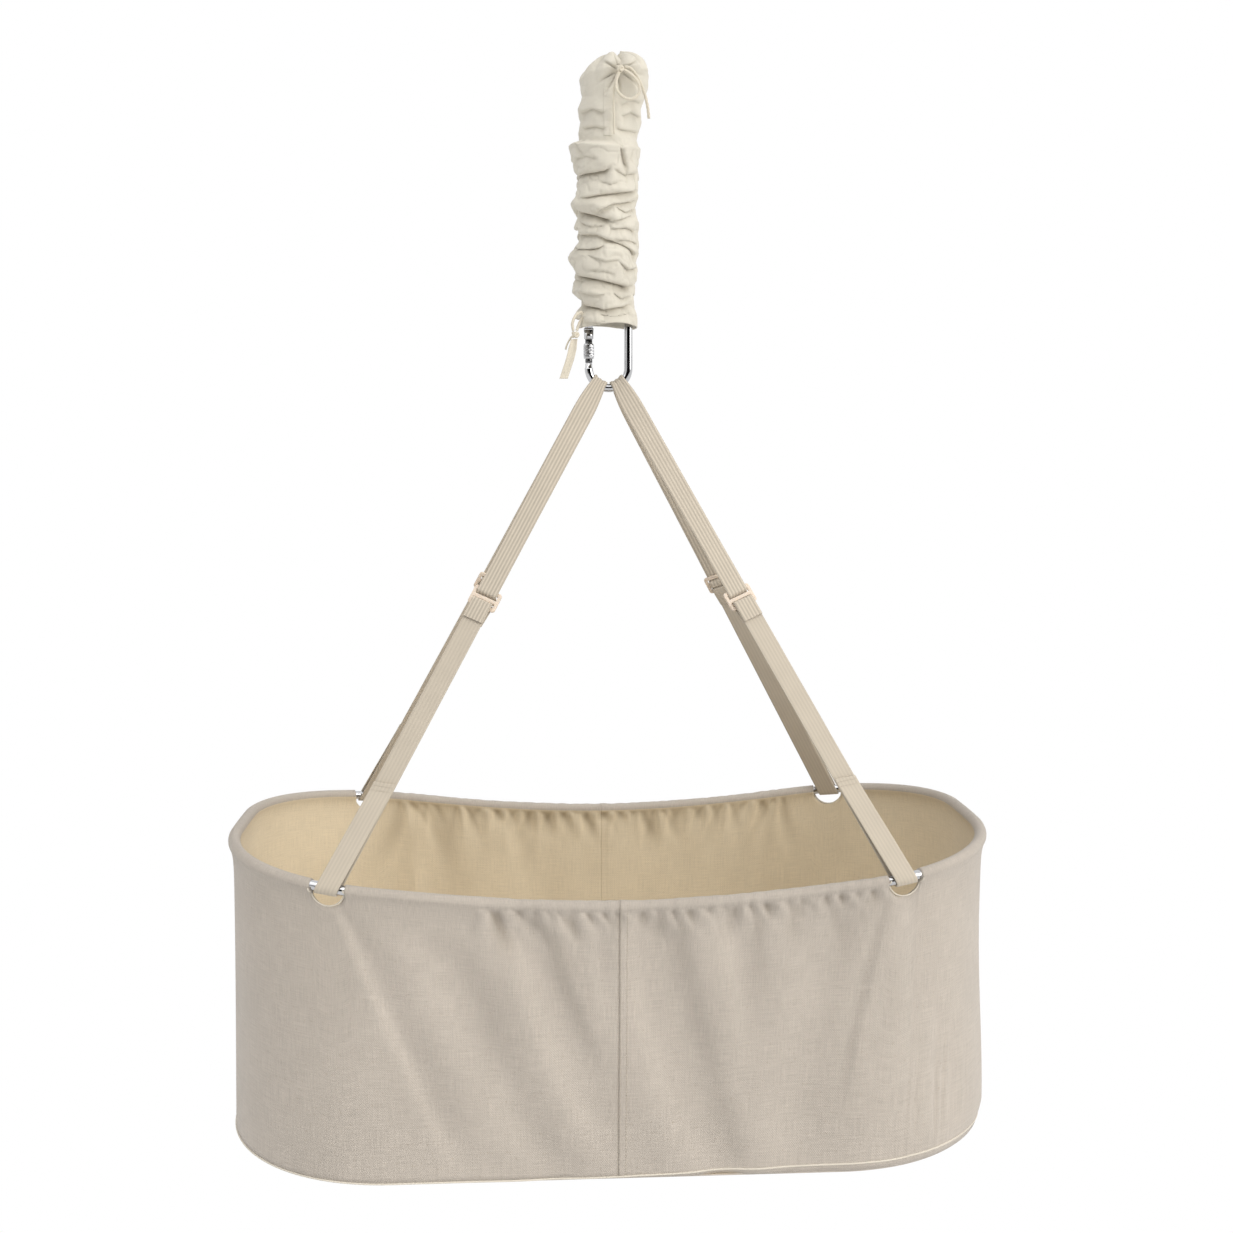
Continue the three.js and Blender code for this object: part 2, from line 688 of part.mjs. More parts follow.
function wayAlongRim(step) {
  const quarter = SIDE_STATIONS + CORNER_STATIONS + END_STATIONS;
  const s = step > quarter ? 2 * quarter - step : step;
  const side = Math.min(s / SIDE_STATIONS, 1);
  const turn = THREE.MathUtils.clamp((s - SIDE_STATIONS) / CORNER_STATIONS, 0, 1);
  const end = Math.max((s - SIDE_STATIONS - CORNER_STATIONS) / END_STATIONS, 0);
  return rimStraight * side + (rimCorner * Math.PI * turn) / 2 + RIM_END_STRAIGHT * end;
}

// The loaded rod sags in the middle of its sides and lifts at its ends
function rimStation(step) {
  const { point, normal } = planStation(step, RIM_HALF_LENGTH, RIM_HALF_WIDTH, rimCorner);
  const phase = (Math.PI * wayAlongRim(step)) / rimQuarter;
  return { point, normal, z: RIM_HEIGHT + RIM_SWEEP * (Math.cos(notchPhase) - Math.cos(phase)) };
}

// Ring of points round the rod's centre line at one station
function rodRing(station, radius, sides) {
  const ring = [];
  for (let j = 0; j < sides; j += 1) {
    const angle = (2 * Math.PI * j) / sides;
    const out = radius * Math.cos(angle);
    ring.push(new THREE.Vector3(
      station.point.x + station.normal.x * out,
      station.point.y + station.normal.y * out,
      station.z + radius * Math.sin(angle),
    ));
  }
  return ring;
}

// Rim rod: one closed steel ring
const rodRings = [];
for (let i = 0; i <= halfRoundStations; i += 1) {
  rodRings.push(rodRing(rimStation(i), RIM_ROD_RADIUS, ROD_SIDES));
}
for (let i = halfRoundStations - 1; i > 0; i -= 1) {
  const station = rimStation(i);
  station.point.x = -station.point.x;
  station.normal.x = -station.normal.x;
  rodRings.push(rodRing(station, RIM_ROD_RADIUS, ROD_SIDES));
}
addPiece('rim_rod', loft(rodRings, true), steel());

// Main folds of each canvas side: place at the hem and at the base and width as shares of
// the half length, and depth in cloth thicknesses
const FRONT_LEFT_FOLD_SHARES = [
  { hem: 0.66, base: 0.43, width: 0.07, depth: -2.2 },
  { hem: 0.45, base: 0.33, width: 0.06, depth: 1.6 },
  { hem: 0.24, base: 0.07, width: 0.06, depth: -2.0 },
];
const FRONT_RIGHT_FOLD_SHARES = [
  { hem: 0.12, base: 0.32, width: 0.06, depth: -1.8 },
  { hem: 0.33, base: 0.47, width: 0.07, depth: 1.6 },
  { hem: 0.64, base: 0.585, width: 0.06, depth: -2.0 },
];
const BACK_FOLD_SHARES = [
  { hem: 0.2, base: 0.31, width: 0.07, depth: -1.8 },
  { hem: 0.5, base: 0.59, width: 0.07, depth: -1.6 },
];

function foldDepth(folds, alongShare, downShare) {
  const fade = Math.sin(Math.PI * downShare);
  return folds.reduce((total, fold) => {
    const middle = THREE.MathUtils.lerp(fold.hem, fold.base, downShare);
    const away = (alongShare - middle) / fold.width;
    return total + CANVAS * fold.depth * fade * Math.exp(-away * away);
  }, 0);
}

// Side panel: canvas wall with a hem tunnel round the rod and two notches
const hemRadius = RIM_ROD_RADIUS + HEM_SLACK + HEM_CLOTH;
const seamZ = RIM_HEIGHT - BASKET_DEPTH;
const hemMouth = Math.asin(CANVAS / 2 / hemRadius);

function panelRing(step, frontFolds) {
  const rim = rimStation(step);
  const base = planStation(step, BASE_HALF_LENGTH, BASE_HALF_WIDTH, baseCorner);
  const folds = rim.point.y < 0 ? frontFolds : BACK_FOLD_SHARES;
  const alongShare = Math.abs(rim.point.x) / RIM_HALF_LENGTH;
  const hemEndZ = rim.z - hemRadius * Math.cos(hemMouth);
  const wallPoint = (row, side) => {
    const share = row / WALL_ROWS;
    const out = (side * CANVAS) / 2 + foldDepth(folds, alongShare, share);
    const plan = rim.point.clone().lerp(base.point, share).addScaledVector(rim.normal, out);
    const z = THREE.MathUtils.lerp(hemEndZ, seamZ, share);
    return new THREE.Vector3(plan.x, plan.y, z);
  };
  const ring = [];
  for (let row = WALL_ROWS; row >= 0; row -= 1) ring.push(wallPoint(row, 1));
  for (let i = 1; i < HEM_STEPS; i += 1) {
    const turn = hemMouth + ((2 * Math.PI - 2 * hemMouth) * i) / HEM_STEPS;
    const out = hemRadius * Math.sin(turn);
    ring.push(new THREE.Vector3(
      rim.point.x + rim.normal.x * out,
      rim.point.y + rim.normal.y * out,
      rim.z - hemRadius * Math.cos(turn),
    ));
  }
  for (let row = 0; row <= WALL_ROWS; row += 1) ring.push(wallPoint(row, -1));
  return ring;
}

function notchCutter(signY) {
  const normal = new THREE.Vector3(-notchNormalX, signY * notchNormalY, 0);
  const centre = new THREE.Vector3(-notchX, signY * notchY, RIM_HEIGHT);
  return cylinderBetween(
    NOTCH_RADIUS,
    centre.clone().addScaledVector(normal, -CUT_OVERRUN),
    centre.clone().addScaledVector(normal, CUT_OVERRUN),
    NOTCH_SIDES,
  );
}

function sidePanelGeometry(frontFolds) {
  const wallRings = [];
  const tunnelRings = [];
  const tunnelRadius = RIM_ROD_RADIUS + HEM_SLACK;
  for (let i = 0; i <= halfRoundStations; i += 1) {
    wallRings.push(panelRing(i, frontFolds));
    tunnelRings.push(rodRing(rimStation(i), tunnelRadius, ROD_SIDES));
  }
  const runOut = (ring) => ring.map((point) => point.clone().setX(CUT_OVERRUN));
  tunnelRings.unshift(runOut(tunnelRings[0]));
  tunnelRings.push(runOut(tunnelRings[tunnelRings.length - 1]));
  const panel = solidOf(loft(wallRings))
    .subtract(solidOf(loft(tunnelRings)))
    .subtract(solidOf(notchCutter(-1)))
    .subtract(solidOf(notchCutter(1)));
  return geometryOf(panel).translate(-FIT_GAP / 2, 0, 0);
}

addPiece('left_side_panel', sidePanelGeometry(FRONT_LEFT_FOLD_SHARES), canvas());
const rightPanel = mirrored(sidePanelGeometry(FRONT_RIGHT_FOLD_SHARES), -1, 1);
addPiece('right_side_panel', rightPanel, canvas());

// Outline of the base, drawn in by an inset, at one height
function baseOutline(inset, z) {
  const half = [];
  for (let i = 0; i <= halfRoundStations; i += 1) {
    const { point, normal } = planStation(i, BASE_HALF_LENGTH, BASE_HALF_WIDTH, baseCorner);
    half.push(new THREE.Vector3(point.x - normal.x * inset, point.y - normal.y * inset, z));
  }
  const other = half.slice(1, -1).reverse()
    .map((point) => new THREE.Vector3(-point.x, point.y, point.z));
  return half.concat(other).filter((point, i, all) => {
    const next = all[(i + 1) % all.length];
    return point.distanceTo(next) > FIT_GAP;
  });
}

// Base panel: a shallow tray of canvas, flat where the board lies
const trayTopZ = seamZ - FIT_GAP;
const trayFloorZ = trayTopZ - BASE_SAG;
const basePanel = loft([
  baseOutline(BASE_SLOPE, trayFloorZ + CANVAS),
  baseOutline(CANVAS / 2, trayTopZ),
  baseOutline(-CANVAS / 2, trayTopZ),
  baseOutline(-CANVAS / 2, trayTopZ - CANVAS / 2),
  baseOutline(BASE_SLOPE, trayFloorZ),
]);
addPiece('base_panel', basePanel, canvas());

// Stiff board on the base canvas
const boardBottomZ = trayFloorZ + CANVAS + FIT_GAP;
const boardTopZ = boardBottomZ + BOARD_THICKNESS;
addPiece('base_board', loft([
  baseOutline(BOARD_MARGIN, boardBottomZ),
  baseOutline(BOARD_MARGIN, boardTopZ),
]), board());

// Mattress with rounded edges and a crown
const mattressBottomZ = boardTopZ + FIT_GAP;
const mattressTopZ = mattressBottomZ + MATTRESS_THICKNESS;
const crownInset = BASE_HALF_WIDTH / 2;
addPiece('mattress', loft([
  baseOutline(MATTRESS_MARGIN + MATTRESS_EDGE, mattressBottomZ),
  baseOutline(MATTRESS_MARGIN, mattressBottomZ + MATTRESS_EDGE),
  baseOutline(MATTRESS_MARGIN, mattressTopZ - MATTRESS_EDGE),
  baseOutline(MATTRESS_MARGIN + MATTRESS_EDGE / 2, mattressTopZ - MATTRESS_EDGE / 3),
  baseOutline(MATTRESS_MARGIN + 2 * MATTRESS_EDGE, mattressTopZ),
  baseOutline(crownInset, mattressTopZ + MATTRESS_CROWN),
]), ticking());

// Front-left leg: the webbing's middle line runs straight from the carabiner's bow to the rim
const bowWire = new THREE.Vector3(
  -bowRadius * Math.sin(BOW_ANGLE),
  0,
  lowerArcZ - bowRadius * Math.cos(BOW_ANGLE),
);
const bowAlong = new THREE.Vector3(Math.cos(BOW_ANGLE), 0, -Math.sin(BOW_ANGLE));
const bowUp = new THREE.Vector3(Math.sin(BOW_ANGLE), 0, Math.cos(BOW_ANGLE));
const rimWire = new THREE.Vector3(-notchX, -notchY, RIM_HEIGHT);
const rimOut = new THREE.Vector3(-notchNormalX, -notchNormalY, 0);
const rodTilt = Math.atan((RIM_SWEEP * Math.PI * Math.sin(notchPhase)) / rimQuarter);
const rimAlong = new THREE.Vector3(
  notchNormalY * Math.cos(rodTilt),
  -notchNormalX * Math.cos(rodTilt),
  -Math.sin(rodTilt),
);
const rimUp = new THREE.Vector3().crossVectors(rimAlong, rimOut).negate();
const legDown = new THREE.Vector3().subVectors(rimWire, bowWire).normalize();

const bowWrapRadius = CARABINER_ROD / 2 + BOW_GAP + WEBBING_THICKNESS / 2;
const rimWrapRadius = RIM_ROD_RADIUS + ROD_GAP + WEBBING_THICKNESS / 2;
const bowTouch = new THREE.Vector3().crossVectors(legDown, bowAlong).normalize();
const rimTouch = new THREE.Vector3().crossVectors(rimAlong, legDown).normalize();
if (bowTouch.y > 0) bowTouch.negate();
if (rimTouch.y < 0) rimTouch.negate();
const legTop = bowWire.clone().addScaledVector(bowTouch, bowWrapRadius);
const legBottom = rimWire.clone().addScaledVector(rimTouch, rimWrapRadius);
const legLine = new THREE.Vector3().subVectors(legBottom, legTop);
const legLength = legLine.length();
legLine.normalize();

// The slider lies across the leg, in the plane of leg and rim
const sliderAcross = rimAlong.clone()
  .addScaledVector(legLine, -rimAlong.dot(legLine))
  .normalize();
const sliderUp = legLine.clone().negate();
const sliderOut = new THREE.Vector3().crossVectors(sliderAcross, sliderUp);
const halfSlider = SLIDER_OUTER_BAR + SLIDER_SLOT + SLIDER_MIDDLE_BAR / 2;
const barOffset = SLIDER_THICKNESS / 2 + FIT_GAP + WEBBING_THICKNESS / 2;
const sliderAt = SLIDER_SHARE * legLength;
const sliderCentre = legTop.clone()
  .addScaledVector(legLine, sliderAt)
  .addScaledVector(sliderOut, -barOffset);

// A point by its place down the leg from the slider and its height over the slider's middle
function atSlider(down, out) {
  return sliderCentre.clone().addScaledVector(legLine, down).addScaledVector(sliderOut, out);
}

const slotMiddle = SLIDER_MIDDLE_BAR / 2 + SLIDER_SLOT / 2;
const slotRun = barOffset / Math.tan(SLOT_LEAN);
const layerPitch = WEBBING_THICKNESS + FIT_GAP;
const halfWeb = WEBBING_WIDTH / 2;
const sliderHalf = sliderAcross.clone().multiplyScalar(halfWeb);

// Upper webbing: tail on the front slider, up over the bow, down to the back slider
function upperWebbingHalf() {
  const stations = [];
  const flat = (down, out) => stations.push({ point: atSlider(down, out), half: sliderHalf });
  const tailOut = barOffset + layerPitch;
  const lowerSlotAt = SLIDER_MIDDLE_BAR / 2 + FIT_GAP + WEBBING_THICKNESS / 2;
  flat(halfSlider + TAIL_LENGTH, tailOut);
  flat(halfSlider, tailOut);
  flat(lowerSlotAt + FIT_GAP, tailOut);
  flat(lowerSlotAt, -barOffset);
  flat(-slotMiddle + slotRun, -barOffset);
  flat(-slotMiddle - slotRun, barOffset);
  flat(-halfSlider, barOffset);
  flat(-halfSlider - BUNCH_LENGTH / 2, barOffset);
  const bunchedHalf = bowAlong.clone().multiplyScalar(WEBBING_BUNCHED_WIDTH / 2);
  const rise = (WEBBING_BUNCHED_WIDTH / 2) ** 2 / (2 * bowRadius);
  const freeLength = sliderAt - halfSlider - BUNCH_LENGTH / 2;
  for (let i = 1; i < LEG_STEPS; i += 1) {
    const toBow = freeLength * (1 - i / LEG_STEPS) ** BUNCH_SPACING;
    const turn = 1 - toBow / freeLength;
    const bunch = Math.max(1 - toBow / BUNCH_LENGTH, 0) ** 2;
    const across = sliderAcross.clone().lerp(bowAlong, turn ** 2).normalize();
    across.addScaledVector(legLine, -across.dot(legLine) * (1 - turn ** 2)).normalize();
    const width = THREE.MathUtils.lerp(halfWeb, WEBBING_BUNCHED_WIDTH / 2, bunch);
    stations.push({
      point: legTop.clone().addScaledVector(legLine, toBow),
      half: across.multiplyScalar(width),
      lift: bowUp.clone().multiplyScalar(rise * bunch),
    });
  }
  const startAngle = Math.asin(bowTouch.dot(bowUp));
  for (let i = 0; i <= BOW_WRAP_STEPS; i += 1) {
    const angle = THREE.MathUtils.lerp(startAngle, Math.PI / 2, i / BOW_WRAP_STEPS);
    stations.push({
      point: bowWire.clone()
        .addScaledVector(Y_AXIS, -bowWrapRadius * Math.cos(angle))
        .addScaledVector(bowUp, bowWrapRadius * Math.sin(angle)),
      half: bunchedHalf,
      lift: bowUp.clone().multiplyScalar(rise),
    });
  }
  return stations;
}

function flippedY(vector) {
  return new THREE.Vector3(vector.x, -vector.y, vector.z);
}

function upperWebbingGeometry() {
  const front = upperWebbingHalf();
  const back = front.slice(0, -1).reverse().map(({ point, half, lift }) => ({
    point: flippedY(point),
    half: flippedY(half),
    lift: lift ? flippedY(lift) : undefined,
  }));
  return ribbon(front.concat(back), WEBBING_THICKNESS);
}

const leftUpper = upperWebbingGeometry();
addPiece('left_upper_webbing', leftUpper, webbing());
addPiece('right_upper_webbing', mirrored(leftUpper, -1, 1), webbing());

// Lower webbing: flap behind the slider's bottom bar, down to the rod, round it and up again
// on the outside to its stitched end
function lowerWebbingGeometry() {
  const stations = [];
  const flat = (down, out) => stations.push({ point: atSlider(down, out), half: sliderHalf });
  const slotAt = SLIDER_MIDDLE_BAR / 2 + SLIDER_SLOT - FIT_GAP - WEBBING_THICKNESS / 2;
  flat(halfSlider + SLIDER_FLAP_LENGTH, barOffset - layerPitch);
  flat(halfSlider + FIT_GAP + WEBBING_THICKNESS, -barOffset);
  flat(slotAt, -barOffset);
  flat(slotAt, barOffset);
  const lean = rimAlong.dot(legLine) / Math.sqrt(1 - rimAlong.dot(legLine) ** 2);
  const rimHalf = rimAlong.clone().multiplyScalar(halfWeb * Math.sqrt(1 + lean ** 2));
  const below = legLength - sliderAt;
  for (let i = 1; i <= LEG_BLEND_STEPS; i += 1) {
    const share = i / LEG_BLEND_STEPS;
    const down = THREE.MathUtils.lerp(halfSlider, below - STITCH_HEIGHT, share);
    stations.push({
      point: atSlider(down, barOffset),
      half: sliderHalf.clone().lerp(rimHalf, share),
    });
  }
  stations.push({ point: legBottom.clone(), half: rimHalf });
  // The turn round the rod, in the plane across it, sheared along the rod with height
  const shear = rimAlong.dot(legLine) / rimUp.dot(legLine);
  const wrapPoint = (angle) => {
    const point = rimWire.clone()
      .addScaledVector(rimOut, rimWrapRadius * Math.cos(angle))
      .addScaledVector(rimUp, rimWrapRadius * Math.sin(angle));
    const height = new THREE.Vector3().subVectors(point, legBottom).dot(rimUp);
    return point.addScaledVector(rimAlong, height * shear);
  };
  const inner = Math.PI + Math.atan2(-rimTouch.dot(rimUp), -rimTouch.dot(rimOut));
  const flapSpread = Math.atan2(2 * rimWrapRadius - layerPitch, STITCH_HEIGHT);
  const outer = inner + Math.PI + flapSpread;
  for (let i = 1; i <= ROD_WRAP_STEPS; i += 1) {
    const angle = THREE.MathUtils.lerp(inner, outer, i / ROD_WRAP_STEPS);
    stations.push({ point: wrapPoint(angle), half: rimHalf });
  }
  const flapTop = below - STITCH_HEIGHT;
  stations.push({ point: atSlider(flapTop, barOffset + layerPitch), half: rimHalf });
  stations.push({
    point: atSlider(flapTop - STITCH_TO_END, barOffset + layerPitch),
    half: rimHalf,
  });
  return ribbon(stations, WEBBING_THICKNESS);
}

// Slider: a flat buckle of three bars
function sliderGeometry() {
  const outline = new THREE.Shape();
  const x = SLIDER_WIDTH / 2 - SLIDER_EDGE;
  const y = halfSlider - SLIDER_EDGE;
  const corner = SLIDER_CORNER;
  outline.moveTo(-x + corner, -y);
  outline.lineTo(x - corner, -y);
  outline.lineTo(x, -y + corner);
  outline.lineTo(x, y - corner);
  outline.lineTo(x - corner, y);
  outline.lineTo(-x + corner, y);
  outline.lineTo(-x, y - corner);
  outline.lineTo(-x, -y + corner);
  outline.closePath();
  [-slotMiddle, slotMiddle].forEach((middle) => {
    const slot = new THREE.Path();
    const low = middle - SLIDER_SLOT / 2 - SLIDER_EDGE;
    const high = middle + SLIDER_SLOT / 2 + SLIDER_EDGE;
    const side = SLIDER_SLOT_WIDTH / 2 + SLIDER_EDGE;
    slot.moveTo(-side, low);
    slot.lineTo(-side, high);
    slot.lineTo(side, high);
    slot.lineTo(side, low);
    slot.closePath();
    outline.holes.push(slot);
  });
  const geometry = new THREE.ExtrudeGeometry(outline, {
    depth: SLIDER_THICKNESS - 2 * SLIDER_EDGE,
    bevelThickness: SLIDER_EDGE,
    bevelSize: SLIDER_EDGE,
    bevelSegments: 1,
  });
  geometry.translate(0, 0, SLIDER_EDGE - SLIDER_THICKNESS / 2);
  const merged = geometryOf(solidOf(geometry));
  return placed(merged, sliderAcross, sliderUp, sliderCentre);
}

const lowerWebbing = lowerWebbingGeometry();
const slider = sliderGeometry();
const corners = [
  { name: 'front_left', signX: 1, signY: 1 },
  { name: 'back_left', signX: 1, signY: -1 },
  { name: 'front_right', signX: -1, signY: 1 },
  { name: 'back_right', signX: -1, signY: -1 },
];
corners.forEach(({ name, signX, signY }) => {
  addPiece(`lower_webbing_${name}`, mirrored(lowerWebbing, signX, signY), webbing());
  addPiece(`slider_${name}`, mirrored(slider, signX, signY), plastic());
});

// Ties: their routes are points chosen by hand, outside the sleeve
const cordPath = (points) => new THREE.CatmullRomCurve3(points.map((p) => new THREE.Vector3(...p)));

const TOP_KNOT = [11, -43.4, 4];
const TOP_LOOP = [
  [9.6, -45.4, -0.5], [6.4, -46, -10], [7, -46, -20], [15, -46, -28], [25, -45.5, -29.5],
  [33, -44.6, -22], [31, -44.2, -10], [23, -44, -2], [15.8, -43.6, 2.6],
];
const TOP_TAIL = [
  [16.1, -42.5, 6.2], [23, -41.2, 5], [32, -38, -5], [39, -35.5, -20], [43, -33, -34],
  [45, -31, -48],
];
const PLACKET_CORD = [
  [8.4, -42.4, -0.6], [5.4, -42.5, -9], [3.6, -42.6, -25], [4.2, -41.2, -45], [4.4, -39.6, -58],
  [4.5, -38.6, -67],
];
const BOTTOM_KNOT = [-40, -20, -292];
const BOTTOM_LOOP = [
  [-38.3, -20, -287.2], [-35.4, -19.4, -279], [-31.2, -17.6, -271], [-33, -18.2, -266],
  [-39.5, -21, -270], [-43.4, -21.6, -279], [-42.4, -20.7, -287.6],
];
const BOTTOM_TAPE = [
  [-41.3, -20.3, -297], [-43.2, -20.8, -307], [-46, -21.2, -319], [-50, -21.2, -331],
  [-54, -20.8, -343],
];
const BOTTOM_TAIL = [
  [-44.4, -18.2, -294.2], [-47.6, -17, -299], [-50, -16.5, -304], [-51.4, -16.5, -309],
];

function knotGeometry(centre) {
  const geometry = new THREE.SphereGeometry(KNOT_RADIUS, KNOT_SIDES, KNOT_RINGS);
  return geometry.translate(...centre);
}

addPiece('top_knot', knotGeometry(TOP_KNOT), cotton());
addPiece('bottom_knot', knotGeometry(BOTTOM_KNOT), cotton());
[
  { name: 'top_loop', route: TOP_LOOP, radius: TIE_CORD_RADIUS, steps: LOOP_STEPS },
  { name: 'top_tail', route: TOP_TAIL, radius: TIE_CORD_RADIUS, steps: TAIL_STEPS },
  { name: 'placket_cord', route: PLACKET_CORD, radius: THIN_CORD_RADIUS, steps: TAIL_STEPS },
  { name: 'bottom_loop', route: BOTTOM_LOOP, radius: TIE_CORD_RADIUS, steps: SMALL_LOOP_STEPS },
  { name: 'bottom_tail', route: BOTTOM_TAIL, radius: THIN_CORD_RADIUS, steps: TAIL_STEPS },
].forEach(({ name, route, radius, steps }) => {
  addPiece(name, roundTube(cordPath(route), radius, CORD_SIDES, steps), cotton());
});

const tapeHalf = new THREE.Vector3(TAPE_WIDTH / 2, 0, 0);
const tapeStations = BOTTOM_TAPE.map((p) => ({ point: new THREE.Vector3(...p), half: tapeHalf }));
addPiece('bottom_tape', ribbon(tapeStations, TAPE_THICKNESS), cotton());

export default root;
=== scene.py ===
"""Looks of a hanging baby cradle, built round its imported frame.

Metres, +Z up, +X along the basket and +Y towards its back. The origin is the point in the
top ring's bore where a ceiling hook bears.
"""

import math
import random

import bmesh
import bpy
import numpy as np
from mathutils import Matrix, Vector, noise


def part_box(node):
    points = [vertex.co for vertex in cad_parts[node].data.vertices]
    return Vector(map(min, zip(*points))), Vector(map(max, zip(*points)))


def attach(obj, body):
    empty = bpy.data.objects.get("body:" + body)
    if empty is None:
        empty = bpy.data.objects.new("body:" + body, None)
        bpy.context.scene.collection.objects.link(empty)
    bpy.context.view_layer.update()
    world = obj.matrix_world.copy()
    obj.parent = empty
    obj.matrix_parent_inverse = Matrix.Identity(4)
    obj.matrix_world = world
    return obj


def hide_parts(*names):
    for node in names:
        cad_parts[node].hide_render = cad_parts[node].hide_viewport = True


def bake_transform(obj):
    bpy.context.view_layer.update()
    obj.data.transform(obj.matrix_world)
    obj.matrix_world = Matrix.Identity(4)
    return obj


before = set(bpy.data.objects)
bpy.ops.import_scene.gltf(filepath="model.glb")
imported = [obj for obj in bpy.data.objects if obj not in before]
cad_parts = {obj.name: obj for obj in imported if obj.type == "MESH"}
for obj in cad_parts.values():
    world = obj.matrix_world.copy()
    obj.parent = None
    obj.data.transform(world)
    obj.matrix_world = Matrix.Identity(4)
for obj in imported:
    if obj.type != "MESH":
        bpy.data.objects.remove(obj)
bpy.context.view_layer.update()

bl_info = {
    "name": "Hanging baby cradle",
    "version": (1, 0, 0),
    "blender": (4, 5, 0),
    "location": "View3D > Sidebar > Cradle",
    "description": "Builds the cloth, webbing, steel and plastic of a hanging baby cradle",
    "category": "Object",
}

MM = 0.001
TAU = 2 * math.pi

# Sizes that the part's source gives
RING_WIRE = 8 * MM
RING_BORE = 32 * MM
EYE_WIRE = 7 * MM
EYE_BORE = 16 * MM
FIT_GAP = 0.3 * MM
SPRING_LENGTH = 172 * MM
SPRING_WIRE = 3.2 * MM
SPRING_RADIUS = 20 * MM
SPRING_NECK = 5.84 * MM
SPRING_TURNS = 30
SPRING_CONE_TURNS = 3
SPRING_TO_EYE = 5.3 * MM
CARABINER_LENGTH = 108 * MM
CARABINER_WIDTH = 57 * MM
CARABINER_ROD = 10 * MM
HINGE_DROP = 35 * MM
HINGE_RADIUS = 6 * MM
HINGE_ABOVE = 7 * MM
HINGE_BELOW = 6 * MM
GATE_RADIUS = 4.2 * MM
GATE_LENGTH = 33.5 * MM
WEB_WIDTH = 25 * MM
WEB_THICKNESS = 1.8 * MM
WEB_BUNCHED = 17.5 * MM
BUNCH_LENGTH = 42 * MM
BOW_GAP = 1 * MM
ROD_GAP = 0.4 * MM
BOW_ANGLE = math.radians(34)
TAIL_LENGTH = 17 * MM
FLAP_LENGTH = 20 * MM
STITCH_HEIGHT = 118 * MM
STITCH_TO_END = 10 * MM
SLIDER_SHARE = 0.447
SLIDER_WIDTH = 35 * MM
SLIDER_THICKNESS = 3 * MM
SLOT_WIDTH = 27 * MM
SLOT = 5 * MM
OUTER_BAR = 4.5 * MM
MIDDLE_BAR = 4.4 * MM
SLOT_LEAN = math.radians(65)
RIM_HEIGHT = -895 * MM
RIM_ARC = 173 * MM
RIM_HALF_LENGTH = 444 * MM
RIM_HALF_WIDTH = 219 * MM
RIM_ROD = 5.5 * MM
RIM_SWEEP = 22 * MM
NOTCH_RADIUS = 20 * MM
DEPTH = 345 * MM
BASE_HALF_LENGTH = 460 * MM
BASE_HALF_WIDTH = 200 * MM
CANVAS = 2 * MM
HEM_RADIUS = 7.2 * MM
BASE_SAG = 7 * MM
BASE_SLOPE = 24 * MM
SIDE_STEPS = 9
CORNER_STEPS = 9
END_STEPS = 2
QUARTER = SIDE_STEPS + CORNER_STEPS + END_STEPS

# The webbing sits in the middle of a straight span of the rim's corner
NOTCH_STEP = SIDE_STEPS + 1.5
NOTCH_TURN = math.radians(15)
SPAN_SHARE = math.cos(math.pi / 4 / CORNER_STEPS)
RIM_STRAIGHT = RIM_HALF_LENGTH - RIM_ARC
RIM_QUARTER = RIM_STRAIGHT + RIM_ARC * math.pi / 2 + RIM_HALF_WIDTH - RIM_ARC
NOTCH_PHASE = math.pi * (RIM_STRAIGHT + RIM_ARC * NOTCH_TURN) / RIM_QUARTER
ROD_TILT = math.atan(RIM_SWEEP * math.pi * math.sin(NOTCH_PHASE) / RIM_QUARTER)
SEAM = RIM_HEIGHT - DEPTH
TRAY_TOP = SEAM - FIT_GAP

# Heights down the chain of hanging pieces
RING_Z = -RING_BORE / 2
TOP_EYE_Z = -RING_BORE + FIT_GAP - EYE_BORE / 2
EYE_OUTER = EYE_BORE / 2 + EYE_WIRE
SPRING_TOP = TOP_EYE_Z - EYE_OUTER - SPRING_TO_EYE
SPRING_BOTTOM = SPRING_TOP - SPRING_LENGTH
BOTTOM_EYE_Z = SPRING_BOTTOM - SPRING_TO_EYE - EYE_OUTER
WIRE_TOP = BOTTOM_EYE_Z - EYE_BORE / 2 + FIT_GAP + CARABINER_ROD / 2
BOW = (CARABINER_WIDTH - CARABINER_ROD) / 2
UPPER_ARC = WIRE_TOP - BOW
LOWER_ARC = UPPER_ARC - (CARABINER_LENGTH - CARABINER_WIDTH)
HINGE_Z = WIRE_TOP - HINGE_DROP
GATE_END = HINGE_Z - GATE_LENGTH
GATE_X = -BOW


def smoothstep(low, high, value):
    share = np.clip((value - low) / (high - low), 0, 1)
    return share * share * (3 - 2 * share)


def nearest(share, count):
    """Index of the nearest of count even places."""
    return np.rint(share * (count - 1)).astype(int)


def run_lengths(points):
    """Length of a path up to each of its points."""
    steps = np.linalg.norm(np.diff(points, axis=0), axis=1)
    return np.concatenate([[0], np.cumsum(steps)])


def resampled(rows, lengths, at):
    """Rows that belong to lengths, interpolated at other lengths."""
    return np.stack([np.interp(at, lengths, column) for column in rows.T], 1)


# Materials


